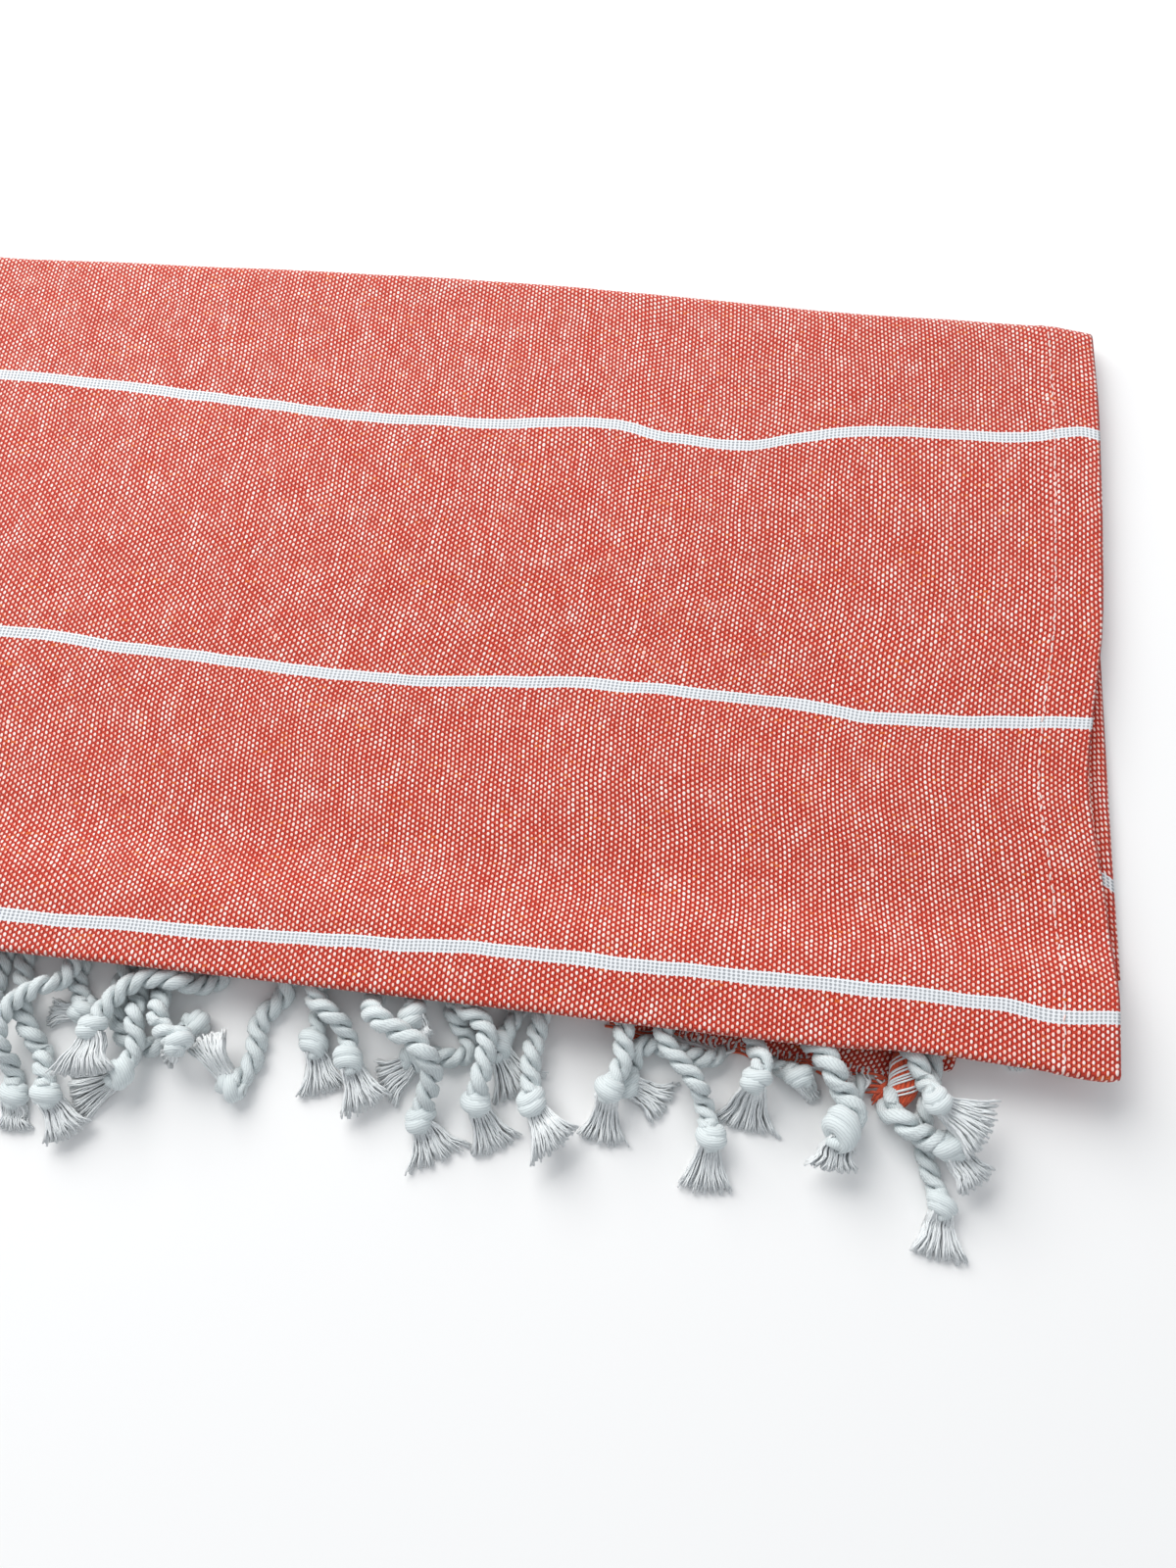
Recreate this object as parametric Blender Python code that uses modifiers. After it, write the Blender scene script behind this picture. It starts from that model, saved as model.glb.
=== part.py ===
"""Hammam towel: a cotton hand towel with knotted rope fringes, folded in four layers.

Frame: X runs along the wefts, Y away from the near fold, Z up. The origin is the middle of the
underside. All sizes below are in millimetres; meshes are written in metres.
"""

import math
from typing import NamedTuple

import bmesh
import bpy
import numpy as np
from mathutils import Vector

METRE = 0.001

# Driving sizes of the folded panel
CLOTH_WIDTH = 500.0
PANEL_DEPTH = 210.5
CLOTH_THICKNESS = 1.2
LAYER_GAP = 0.7
NEAR_FOLD = -PANEL_DEPTH / 2
FAR_FOLD = PANEL_DEPTH / 2

# The near fold rides over the ropes that lie beneath it
ROPE_ROOM = 8.7                 # clear height under the near fold
NEAR_FOLD_OPENING = 2.0         # between the mid-planes of its two layers, at the fold
NEAR_RISE_START = NEAR_FOLD + 37.0
NEAR_RISE_END = NEAR_FOLD + 15.0

# The upper layers end, and their fringe starts, this far behind the near fold
UPPER_END = NEAR_FOLD + 23.5

# Meshing of the cloth
COLUMNS = 20
RUN_STEPS = 8
BEND_STEPS = 5

# Fringe
SEAM_GAP = 0.3                  # between the cloth's end and the strip that carries the ropes
STRIP_WIDTH = 2.0
CLEARANCE = 0.3                 # between a rope and what it lies on
ROPE_PITCH = 15.6
ROPE_WIDTH = 4.4
ROPE_HEIGHT = 3.5
PRESSED_HEIGHT = 3.0            # of a rope under the fold
ROOT_WIDTH = 7.6                # of the gathered warps where a rope starts
ROOT_LENGTH = 6.0
ROOT_INSET = 0.15               # of a root's end, above and below, inside its strip
KNOT_WIDTH = 8.0
KNOT_HEIGHT = 5.2
PRESSED_KNOT_HEIGHT = 5.0
KNOT_HALF_LENGTH = 4.3
TUFT_NECK = 4.8
TUFT_WIDTH = 10.5
TUFT_NECK_HEIGHT = 3.0
TUFT_HEIGHT = 2.0
RING_SPACING = 3.3
CLIMB = 1.5                     # steepest rise of a rope over what it crosses
CELL = 0.5                      # of the height map that the ropes are laid on


class Layer(NamedTuple):
    """One layer of the folded cloth, in the order in which the cloth runs through the folds."""

    name: str
    level: int                  # 0 lies on the floor
    slack: float                # share of the swells that this layer follows
    outward: bool               # runs towards the near fold


LAYERS = (
    Layer("second", 1, 0.6, False),
    Layer("third", 2, 0.8, True),
    Layer("top", 3, 1.0, False),
    Layer("bottom", 0, 0.0, True),
)


class Swell(NamedTuple):
    """A soft rise of the upper layers: its place, its reach and its height."""

    x: float
    y: float
    reach: float
    rise: float


SWELLS = (
    Swell(150.0, 62.0, 60.0, 1.4),
    Swell(40.0, 20.0, 75.0, 0.8),
    Swell(205.0, -20.0, 45.0, 0.9),
    Swell(-70.0, -35.0, 60.0, 0.9),
    Swell(-150.0, 45.0, 70.0, 1.3),
    Swell(-215.0, -50.0, 45.0, 0.7),
)


class Mark(NamedTuple):
    """A place on a wandering edge: how far along it, and where the edge is there."""

    along: float
    place: float


# Right selvedge of the upper layers (along Y), far fold and the lower cloth end (along X)
RIGHT_EDGE = (Mark(-105, 249.0), Mark(-70, 249.2), Mark(-35, 245.6), Mark(-12, 247.6),
              Mark(10, 250.2), Mark(65, 251.0), Mark(105, 249.8))
LEFT_EDGE = (Mark(-105, -249.0), Mark(-40, -250.6), Mark(30, -248.2), Mark(105, -250.5))
SECOND_RIGHT_EDGE = (Mark(-105, 253.5), Mark(-80, 252.9), Mark(-40, 251.6), Mark(105, 248.5))
BOTTOM_RIGHT_EDGE = (Mark(-112, 213.0), Mark(-60, 222.0), Mark(20, 238.0), Mark(105, 247.5))
BOTTOM_LEFT_EDGE = (Mark(-90, -271.0), Mark(-40, -262.0), Mark(105, -250.0))
FAR_EDGE = (Mark(-250, 104.0), Mark(-75, 104.8), Mark(60, 107.6), Mark(120, 106.4),
            Mark(185, 103.8), Mark(235, 104.4), Mark(250, 102.4))
NEAR_EDGE = (Mark(-250, -104.2), Mark(-120, -106.0), Mark(0, -105.0), Mark(120, -105.4),
             Mark(205, -106.3), Mark(250, -105.5))
BOTTOM_END = (Mark(-271, -87.0), Mark(-30, -88.2), Mark(60, -95.8), Mark(150, -105.3), Mark(213, -110.8))


class Rope(NamedTuple):
    """One rope of a fringe, lying on the floor as seen from above.

    Places are (along X from the rope's place in the row, out from the near fold). The rope runs
    from its start through its bends to its knot, and its tuft of loose yarn points on from there.
    A rope with a higher `over` is laid later, on top of those it crosses. `start` is how far
    along X it starts from its place in the row, and `spread` widens or narrows its tuft.
    """

    bends: tuple
    knot: tuple
    tuft_deg: float
    tuft_length: float
    over: int = 0
    start: float = 0.0
    spread: float = 1.0


# Where nothing shows of a rope, its place in the row is empty
LOWER_ROPES = (
    Rope(((-4.6, 10.8), (-1.6, 14.6), (3.4, 17.2)), (8.4, 18.4), -50, 10, 2, -1.4),
    Rope(((3.4, 8.6),), (2.2, 15.6), -92, 7, 0, 5.6, 0.7),
    Rope((), (6.2, 6.6), -46, 6.4, 0, 0.0, 0.6),
    Rope(((1.2, 5.0), (-4.2, 4.9), (-9.2, 3.6), (-13.2, 3.4), (-16.0, 6.4)),
         (-17.0, 12.6), -28, 10.5, 0, 4.6),
    None,
    None,
    Rope(((1.2, 2.6),), (-1.4, 7.8), -54, 12, 0, 2.4, 1.1),
    Rope(((2.8, 1.0), (5.2, 4.4), (7.8, 8.2), (5.6, 11.4), (0.8, 11.2)), (-4.0, 12.6), 213, 10, 0, 1.0, 1.1),
    Rope(((-0.6, 0.3), (0.6, 3.8), (6.5, 7.3), (13.1, 10.4), (16.6, 14.8), (15.6, 20.4)),
         (14.6, 25.6), -60, 10.5, 2, 0.0, 1.3),
    Rope(((1.7, 3.2),), (2.3, 11.8), -69, 11.5),
    None,
    Rope(((-6.2, 0.5), (-5.0, 6.0), (-3.0, 10.6), (-0.4, 13.6)), (4.6, 15.6), 218, 6.5, 2, 0.0, 0.8),
    Rope(((-0.6, 2.0), (-0.2, 8.0), (2.2, 14.0), (6.0, 16.8), (12.5, 16.2)),
         (20.0, 10.4), -80, 5.2, 0, 0.0, 0.6),
    Rope(((3.5, 0.2), (2.6, 3.6), (-1.4, 6.4), (-5.6, 9.2), (-8.7, 13.5), (-8.6, 19.0),
          (-6.0, 24.6)), (-3.8, 31.2), -87, 8, 2),
    Rope(((0.0, 4.0),), (1.5, 22.0), -100, 12),
    Rope(((4.0, 6.0),), (5.0, 20.0), -80, 12),
)

UPPER_ROPES = (
    Rope(((0.3, -18.0),), (0.0, -12.8), -92, 10),
    Rope(((0.3, -18.0),), (0.0, -11.6), -93, 11.2),
    Rope(((-3.4, 0.0), (-3.8, 6.0), (-5.0, 11.5), (-4.8, 20.0)), (-0.8, 30.8), -97, 11.5, 1),
    Rope(((6.6, -1.0), (9.0, 3.8)), (10.8, 9.6), -23, 13, 3),
    Rope(((-0.2, -1.0), (2.7, 2.2), (6.3, 8.4), (9.7, 14.0)), (6.6, 17.8), -92, 9, 3, 0.0, 1.2),
    Rope(((1.8, 0.0), (4.0, 4.2)), (3.0, 9.0), -99, 11, 1, 0.0, 1.3),
    Rope(((-3.5, -0.4), (-1.6, 4.0), (2.8, 8.4), (6.4, 12.6)), (9.6, 22.2), -91, 12, 2),
    Rope(((3.4, -0.6), (3.2, 3.2), (4.1, 7.6)), (1.4, 14.6), -97, 12, 1, 0.0, 0.9),
    Rope(((-0.8, 0.5), (-1.5, 6.0), (-1.6, 12.0)), (-0.3, 19.2), -46, 12, 1),
    Rope(((-2.9, -0.2), (1.8, 3.0), (3.5, 7.0), (3.4, 13.0)), (2.5, 20.8), -60, 11.5, 2),
    Rope(((0.6, -3.0),), (0.8, 3.0), -48, 6.6, 0, 0.0, 0.6),
    Rope(((-8.2, 0.2), (-5.0, 3.6), (0.8, 8.0)), (2.9, 14.8), -58, 12, 1),
    Rope(((-0.3, 0.5), (-5.0, 8.0), (-4.8, 16.0), (-5.8, 24.2), (-9.0, 27.3)),
         (-11.3, 20.8), 128, 9.5, 1, 0.0, 0.9),
    Rope(((-0.1, -3.5), (-3.0, 0.6), (-9.2, 1.6), (-14.8, 1.3), (-20.0, 3.2), (-24.6, 8.4)),
         (-26.5, 14.0), -80, 12, 3, 0.0, 1.15),
    Rope(((-4.8, 0.0), (-4.6, 4.6), (-3.2, 9.4), (-1.8, 14.0), (-0.7, 18.0)),
         (-2.6, 23.8), 209, 14, 1),
    Rope(((-5.0, 0.0), (-4.6, 4.0)), (-0.7, 10.2), 184, 9.5, 0, 0.0, 0.7),
    Rope(((-3.7, 0.0), (-1.6, 6.4), (1.0, 13.4), (6.4, 20.0), (9.8, 25.4)), (12.0, 30.4), -55, 11, 1),
    Rope(((0.5, 2.0),), (1.0, 8.0), -85, 10),
)


class Fringe(NamedTuple):
    """A fringe: the X of its first root, its ropes, and the row that the rows repeat from."""

    node: str
    first_root: float
    count: int
    rows: tuple
    repeat_from: int
    strip_base: float


BOTTOM_TOP = CLOTH_THICKNESS
SECOND_MID = CLOTH_THICKNESS * 1.5 + LAYER_GAP
LOWER_FRINGE = Fringe("fringe_lower", 205.0, 31, LOWER_ROPES, 0, 0.0)
UPPER_FRINGE = Fringe("fringe_upper", 245.0, 32, UPPER_ROPES, 2, SECOND_MID - CLOTH_THICKNESS / 2)

COTTON_WHITE = (0.80, 0.79, 0.76, 1.0)
CORAL = (0.72, 0.16, 0.11, 1.0)


# ---------------------------------------------------------------- curves

def smooth_step(value):
    """Ease from 0 to 1."""
    value = min(max(value, 0.0), 1.0)
    return value * value * (3.0 - 2.0 * value)


def edge_at(marks, along):
    """Place of a wandering edge, on a smooth curve through its marks."""
    along = min(max(along, marks[0].along), marks[-1].along)
    for index in range(len(marks) - 1):
        if along <= marks[index + 1].along:
            break
    before, after = marks[index], marks[index + 1]
    first = marks[max(index - 1, 0)]
    last = marks[min(index + 2, len(marks) - 1)]
    span = after.along - before.along
    slope_in = (after.place - first.place) / (after.along - first.along)
    slope_out = (last.place - before.place) / (last.along - before.along)
    share = (along - before.along) / span
    return hermite(before.place, after.place, slope_in * span, slope_out * span, share)


def hermite(start, end, start_tangent, end_tangent, share):
    """Cubic between two values or vectors, with a tangent at each."""
    square, cube = share * share, share * share * share
    return (start * (2 * cube - 3 * square + 1) + start_tangent * (cube - 2 * square + share)
            + end * (3 * square - 2 * cube) + end_tangent * (cube - square))


def smooth_route(points, heading, samples=16):
    """Smooth planar curve through points, leaving the first one along the heading."""
    route = []
    for index in range(len(points) - 1):
        start, end = points[index], points[index + 1]
        reach = (end - start).length
        if index == 0:
            leave = heading * reach
        else:
            leave = (end - points[index - 1]).normalized() * reach
        if index + 2 < len(points):
            arrive = (points[index + 2] - start).normalized() * reach
        else:
            arrive = end - start
        for step in range(samples):
            route.append(hermite(start, end, leave, arrive, step / samples))
    route.append(points[-1])
    return route


def even_points(route, spacing):
    """Points along a polyline at even distances close to the spacing, ends included."""
    lengths = [0.0]
    for before, after in zip(route, route[1:]):
        lengths.append(lengths[-1] + (after - before).length)
    count = max(round(lengths[-1] / spacing), 2)
    targets = [lengths[-1] * step / count for step in range(count + 1)]
    xs = np.interp(targets, lengths, [point.x for point in route])
    ys = np.interp(targets, lengths, [point.y for point in route])
    return [Vector((float(x), float(y))) for x, y in zip(xs, ys)]


# ---------------------------------------------------------------- folded cloth

def swell_at(x, y):
    """Height that the swells add at a place."""
    return sum(swell.rise * math.exp(-((x - swell.x) ** 2 + (y - swell.y) ** 2) / swell.reach ** 2)
               for swell in SWELLS)


def layer_height(layer, x, y):
    """Height of a layer's mid-plane."""
    height = CLOTH_THICKNESS / 2 + layer.level * (CLOTH_THICKNESS + LAYER_GAP)
    height += layer.slack * swell_at(x, y)
    if layer.level >= 2:
        over_ropes = smooth_step((NEAR_RISE_START - y) / (NEAR_RISE_START - NEAR_RISE_END))
        raised = ROPE_ROOM + CLOTH_THICKNESS / 2 + (layer.level - 2) * NEAR_FOLD_OPENING
        height += (raised - height) * over_ropes
    return height


def layer_sides(layer, y):
    """Left and right selvedge of a layer at a distance Y."""
    if layer.name == "bottom":
        return edge_at(BOTTOM_LEFT_EDGE, y), edge_at(BOTTOM_RIGHT_EDGE, y)
    if layer.name == "second":
        return edge_at(LEFT_EDGE, y) + 1.5, edge_at(SECOND_RIGHT_EDGE, y)
    return edge_at(LEFT_EDGE, y), edge_at(RIGHT_EDGE, y)


def layer_ends(layer, across):
    """Near and far end of a layer's run, between its folds' arcs, at a share of the width."""
    half_stack = 1.5 * (CLOTH_THICKNESS + LAYER_GAP)
    half_pair = 0.5 * (CLOTH_THICKNESS + LAYER_GAP)
    near_x, far_x = (across_at(layer, across, y) for y in (NEAR_FOLD, FAR_FOLD))
    far_skin = edge_at(FAR_EDGE, far_x) - CLOTH_THICKNESS / 2
    near_skin = edge_at(NEAR_EDGE, near_x) + CLOTH_THICKNESS / 2
    if layer.name == "bottom":
        return edge_at(BOTTOM_END, near_x), far_skin - half_stack
    if layer.name == "second":
        return UPPER_END, far_skin - CLOTH_THICKNESS - LAYER_GAP - half_pair
    if layer.name == "third":
        return near_skin + NEAR_FOLD_OPENING / 2, far_skin - CLOTH_THICKNESS - LAYER_GAP - half_pair
    return near_skin + NEAR_FOLD_OPENING / 2, far_skin - half_stack


def across_at(layer, across, y):
    """X at a share of a layer's width."""
    left, right = layer_sides(layer, y)
    return left + (right - left) * across


def layer_point(layer, across, share):
    """Point of a layer, at a share of the width and of its run from near to far."""
    near, far = layer_ends(layer, across)
    y = near + (far - near) * share
    x = across_at(layer, across, y)
    return Vector((x, y, layer_height(layer, x, y)))


def cloth_column(across):
    """Points of the cloth's mid-surface along its whole length, at a share of its width."""
    column = []
    for index, layer in enumerate(LAYERS):
        run = [layer_point(layer, across, ease_run(step / RUN_STEPS)) for step in range(RUN_STEPS + 1)]
        if layer.outward:
            run.reverse()
        if index > 0:
            column.extend(fold_arc(column[-1], run[0], layer.outward))
        column.extend(run)
    return column


def ease_run(share):
    """Crowds a run's steps towards its two ends, where the cloth bends."""
    return share + 0.09 * math.sin(-2.0 * math.pi * share)


def fold_arc(start, end, at_far_fold):
    """Points of the half turn between two layers, without its two ends."""
    middle, radius = (start + end) / 2, (end - start).length / 2
    side = 1.0 if at_far_fold else -1.0
    points = []
    for step in range(1, BEND_STEPS):
        angle = math.pi * step / BEND_STEPS
        point = middle + (start - middle) * math.cos(angle)
        point.y += side * radius * math.sin(angle)
        points.append(point)
    return points


def build_cloth(collection):
    """The whole cloth as one sheet, thickened about its mid-surface."""
    columns = [cloth_column(index / COLUMNS) for index in range(COLUMNS + 1)]
    rows = len(columns[0])
    bm = bmesh.new()
    bmesh.ops.create_grid(bm, x_segments=COLUMNS, y_segments=rows - 1, size=0.5)
    for vert in bm.verts:
        column = round((vert.co.x + 0.5) * COLUMNS)
        row = round((vert.co.y + 0.5) * (rows - 1))
        vert.co = columns[column][row] * METRE
    cloth = new_object("cloth", bm, collection, CORAL, 0.9)
    solidify = cloth.modifiers.new("thickness", "SOLIDIFY")
    solidify.thickness = CLOTH_THICKNESS * METRE
    solidify.offset = 0.0
    return cloth


# ---------------------------------------------------------------- fringes

class HeightMap:
    """Tops of what already lies under the fringe, so that each rope is laid over it."""

    def __init__(self, left, right, near, far):
        """An empty floor between the four sides."""
        self.left, self.near = left, near
        self.xs = left + CELL * np.arange(int((right - left) / CELL))
        self.ys = near + CELL * np.arange(int((far - near) / CELL))
        self.tops = np.zeros((len(self.xs), len(self.ys)))

    def cover(self, left, right, near_at, top):
        """Lays a sheet from an edge, near_at(x), to the far side of the map."""
        for index, x in enumerate(self.xs):
            if left <= x <= right:
                column = self.tops[index]
                column[self.ys >= near_at(x)] = top

    def window(self, point, reach):
        """Cells within reach of a point: their slices and which of them count."""
        low_x = max(int((point.x - reach - self.left) / CELL), 0)
        high_x = int((point.x + reach - self.left) / CELL) + 2
        low_y = max(int((point.y - reach - self.near) / CELL), 0)
        high_y = int((point.y + reach - self.near) / CELL) + 2
        part = np.s_[low_x:high_x, low_y:high_y]
        dx = self.xs[low_x:high_x, None] - point.x
        dy = self.ys[None, low_y:high_y] - point.y
        return part, dx * dx + dy * dy <= reach * reach

    def highest(self, point, reach):
        """Highest top within reach of a point."""
        part, near = self.window(point, reach)
        tops = self.tops[part][near]
        return float(tops.max()) if tops.size else 0.0

    def raise_to(self, point, reach, top):
        """Records a top within reach of a point."""
        part, near = self.window(point, reach)
        patch = self.tops[part]
        patch[near] = np.maximum(patch[near], top)


class Ring(NamedTuple):
    """Cross-section of a rope: its middle, its heading, its width and its height."""

    middle: Vector
    heading: Vector
    width: float
    height: float


def root_rows(fringe):
    """X and row of each rope of a fringe, from the right; rows repeat along the hidden left."""
    period = len(fringe.rows) - fringe.repeat_from
    for index in range(fringe.count):
        row = index
        if index >= len(fringe.rows):
            row = fringe.repeat_from + (index - len(fringe.rows)) % period
        if fringe.rows[row]:
            yield fringe.first_root - index * ROPE_PITCH, fringe.rows[row]


def pressed(y, free, under_fold):
    """A height that is smaller where the fold presses on the rope."""
    share = smooth_step((NEAR_FOLD + 2.0 - y) / 6.0)
    return under_fold + (free - under_fold) * share


def rope_rings(root_x, strip_edge, rope):
    """Cross-sections of a rope from its root, through its knot, to the end of its tuft."""
    points = [Vector((root_x + rope.start, strip_edge))]
    points += [Vector((root_x + along, NEAR_FOLD - out)) for along, out in (*rope.bends, rope.knot)]
    heading = Vector((0.0, -1.0))
    route = smooth_route(points, heading)
    tuft = Vector((math.cos(math.radians(rope.tuft_deg)), math.sin(math.radians(rope.tuft_deg))))
    knot = points[-1]
    while len(route) > 2 and (route[-1] - knot).length < KNOT_HALF_LENGTH:
        route.pop()
    middles = even_points(route, RING_SPACING)
    root_height = CLOTH_THICKNESS - 2 * ROOT_INSET
    rings = []
    travelled = 0.0
    for index, middle in enumerate(middles):
        if index > 0:
            travelled += (middle - middles[index - 1]).length
        behind = middles[max(index - 1, 0)]
        ahead = middles[index + 1] if index + 1 < len(middles) else knot
        share = smooth_step(travelled / ROOT_LENGTH)
        width = ROOT_WIDTH + (ROPE_WIDTH - ROOT_WIDTH) * share
        full = pressed(middle.y, ROPE_HEIGHT, PRESSED_HEIGHT)
        height = root_height + (full - root_height) * share
        turned = heading.lerp((ahead - behind).normalized(), share).normalized()
        rings.append(Ring(middle, turned, width, height))
    knot_height = pressed(knot.y, KNOT_HEIGHT, PRESSED_KNOT_HEIGHT)
    arriving = (knot - middles[-1]).normalized()
    across = (arriving + tuft).normalized()
    rings.append(Ring(knot - arriving * 1.6, (arriving * 2 + tuft).normalized(), KNOT_WIDTH, knot_height))
    rings.append(Ring(knot + across * 1.6, tuft, KNOT_WIDTH - 0.6, knot_height))
    neck = knot + tuft * KNOT_HALF_LENGTH
    rings.append(Ring(neck, tuft, TUFT_NECK, TUFT_NECK_HEIGHT))
    end = knot + tuft * rope.tuft_length
    fan = TUFT_WIDTH * rope.spread
    rings.append(Ring(neck * 0.45 + end * 0.55, tuft, fan * 0.8, TUFT_HEIGHT + 0.4))
    rings.append(Ring(end, tuft, fan, TUFT_HEIGHT))
    return rings


def between(rings, bases=None, step=1.0):
    """Fine samples between rings: place, half width, height, and base where it is given."""
    for index in range(len(rings) - 1):
        first, second = rings[index], rings[index + 1]
        count = max(int((second.middle - first.middle).length / step), 1)
        for part in range(count + 1):
            share = part / count
            base = 0.0
            if bases is not None:
                base = bases[index] + (bases[index + 1] - bases[index]) * share
            yield (index + share, first.middle.lerp(second.middle, share),
                   (first.width + (second.width - first.width) * share) / 2,
                   first.height + (second.height - first.height) * share, base)


def lay_rope(rings, height_map, strip_base):
    """Height of each ring's underside: on the floor, or over what the rope crosses."""
    travelled = [0.0]
    for before, after in zip(rings, rings[1:]):
        travelled.append(travelled[-1] + (after.middle - before.middle).length)
    bases = [0.0] * len(rings)
    for place, middle, half_width, _, _ in between(rings):
        along = float(np.interp(place, range(len(rings)), travelled))
        top = height_map.highest(middle, half_width + CLEARANCE)
        needed = top + CLEARANCE if top > 0.0 else 0.0
        for index, ring_along in enumerate(travelled):
            # a ring next to the obstacle clears it whole; farther ones come down at the climb
            span = travelled[min(index + 1, len(rings) - 1)] - travelled[max(index - 1, 0)]
            distance = max(abs(along - ring_along) - span / 2, 0.0)
            bases[index] = max(bases[index], needed - CLIMB * distance)
    bases[0] = strip_base + ROOT_INSET
    bases[1] = max(bases[1], strip_base - CLIMB * travelled[1])
    for _, middle, half_width, height, base in between(rings, bases):
        height_map.raise_to(middle, half_width, base + height)
    return bases


def loft(bm, rings, bases):
    """A closed four-sided skin over a rope's rings."""
    loops = []
    for ring, base in zip(rings, bases):
        side = Vector((-ring.heading.y, ring.heading.x)) * ring.width / 2
        left, right = ring.middle + side, ring.middle - side
        top = base + ring.height
        corners = ((left, base), (right, base), (right, top), (left, top))
        loops.append([bm.verts.new(Vector((place.x, place.y, height)) * METRE) for place, height in corners])
    for before, after in zip(loops, loops[1:]):
        for corner in range(4):
            following = (corner + 1) % 4
            bm.faces.new((before[corner], before[following], after[following], after[corner]))
    bm.faces.new(loops[0][::-1])
    bm.faces.new(loops[-1])


def build_strip(fringe, end_at, left, right):
    """The narrow strip of warps that joins the roots, a little off the cloth's end."""
    steps = 24
    bm = bmesh.new()
    bmesh.ops.create_grid(bm, x_segments=steps, y_segments=1, size=0.5)
    for vert in bm.verts:
        x = left + (right - left) * (vert.co.x + 0.5)
        y = end_at(x) - SEAM_GAP - (STRIP_WIDTH if vert.co.y < 0 else 0.0)
        vert.co = Vector((x, y, fringe.strip_base)) * METRE
    extruded = bmesh.ops.extrude_face_region(bm, geom=bm.faces[:])
    lifted = [item for item in extruded["geom"] if isinstance(item, bmesh.types.BMVert)]
    bmesh.ops.translate(bm, verts=lifted, vec=(0.0, 0.0, CLOTH_THICKNESS * METRE))
    bmesh.ops.recalc_face_normals(bm, faces=bm.faces)
    return bm


def build_fringes(collection, cutters):
    """Both fringes: every rope is laid in its turn, then joined to its strip."""
    height_map = HeightMap(-330.0, 300.0, NEAR_FOLD - 60.0, NEAR_FOLD + 40.0)
    height_map.cover(-266.0, 217.0, lambda x: edge_at(BOTTOM_END, x) - SEAM_GAP - STRIP_WIDTH, BOTTOM_TOP)
    ends = {
        LOWER_FRINGE.node: lambda x: edge_at(BOTTOM_END, x),
        UPPER_FRINGE.node: lambda x: UPPER_END,
    }
    jobs = []
    for fringe in (LOWER_FRINGE, UPPER_FRINGE):
        for root_x, rope in root_rows(fringe):
            edge = ends[fringe.node](root_x + rope.start) - SEAM_GAP - STRIP_WIDTH * 0.5
            jobs.append((rope.over, fringe, root_x, edge, rope))
    jobs.sort(key=lambda job: (job[0], job[1].node, -job[2]))
    skins = {LOWER_FRINGE.node: bmesh.new(), UPPER_FRINGE.node: bmesh.new()}
    for _, fringe, root_x, edge, rope in jobs:
        rings = rope_rings(root_x, edge, rope)
        bases = lay_rope(rings, height_map, fringe.strip_base)
        loft(skins[fringe.node], rings, bases)
    sides = {
        LOWER_FRINGE.node: (edge_at(BOTTOM_LEFT_EDGE, -90.0), edge_at(BOTTOM_RIGHT_EDGE, -112.0)),
        UPPER_FRINGE.node: (edge_at(LEFT_EDGE, UPPER_END) + 1.5, edge_at(SECOND_RIGHT_EDGE, UPPER_END)),
    }
    for fringe in (LOWER_FRINGE, UPPER_FRINGE):
        skin = skins[fringe.node]
        bmesh.ops.recalc_face_normals(skin, faces=skin.faces)
        ropes = new_object(fringe.node + "_ropes", skin, cutters, COTTON_WHITE, 0.85)
        ropes.hide_render = True
        ropes.display_type = "WIRE"
        strip = new_object(fringe.node, build_strip(fringe, ends[fringe.node], *sides[fringe.node]),
                           collection, COTTON_WHITE, 0.85)
        join = strip.modifiers.new("ropes", "BOOLEAN")
        join.operation = "UNION"
        join.object = ropes


# ---------------------------------------------------------------- scene

def material(name, colour, roughness):
    """A plain Principled material."""
    made = bpy.data.materials.new(name)
    made.use_nodes = True
    shader = made.node_tree.nodes["Principled BSDF"]
    shader.inputs["Base Color"].default_value = colour
    shader.inputs["Roughness"].default_value = roughness
    shader.inputs["Metallic"].default_value = 0.0
    return made


def new_object(name, bm, collection, colour, roughness):
    """An object from a finished bmesh, with its own material."""
    mesh = bpy.data.meshes.new(name)
    bm.to_mesh(mesh)
    bm.free()
    made = bpy.data.objects.new(name, mesh)
    collection.objects.link(made)
    mesh.materials.append(material(name + "_finish", colour, roughness))
    return made


def main():
    """Clears the scene and builds the towel."""
    for existing in list(bpy.data.objects):
        bpy.data.objects.remove(existing, do_unlink=True)
    parts = bpy.data.collections.new("hammam_towel")
    cutters = bpy.data.collections.new("cutters")
    bpy.context.scene.collection.children.link(parts)
    bpy.context.scene.collection.children.link(cutters)
    build_cloth(parts)
    build_fringes(parts, cutters)


main()
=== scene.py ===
"""Looks of a folded hammam towel: coral plain weave, white stripes and knotted rope fringes.

Lengths are in millimetres and become metres as each mesh is finished. X runs along the wefts,
Y from the near fold to the far fold and Z up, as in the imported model.
"""

from __future__ import annotations

import logging
import math
from collections.abc import Callable, Iterable, Iterator, Sequence
from dataclasses import dataclass, field
from enum import Enum

import bmesh
import bpy
import numpy as np
from mathutils import Matrix, Vector, noise

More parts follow.
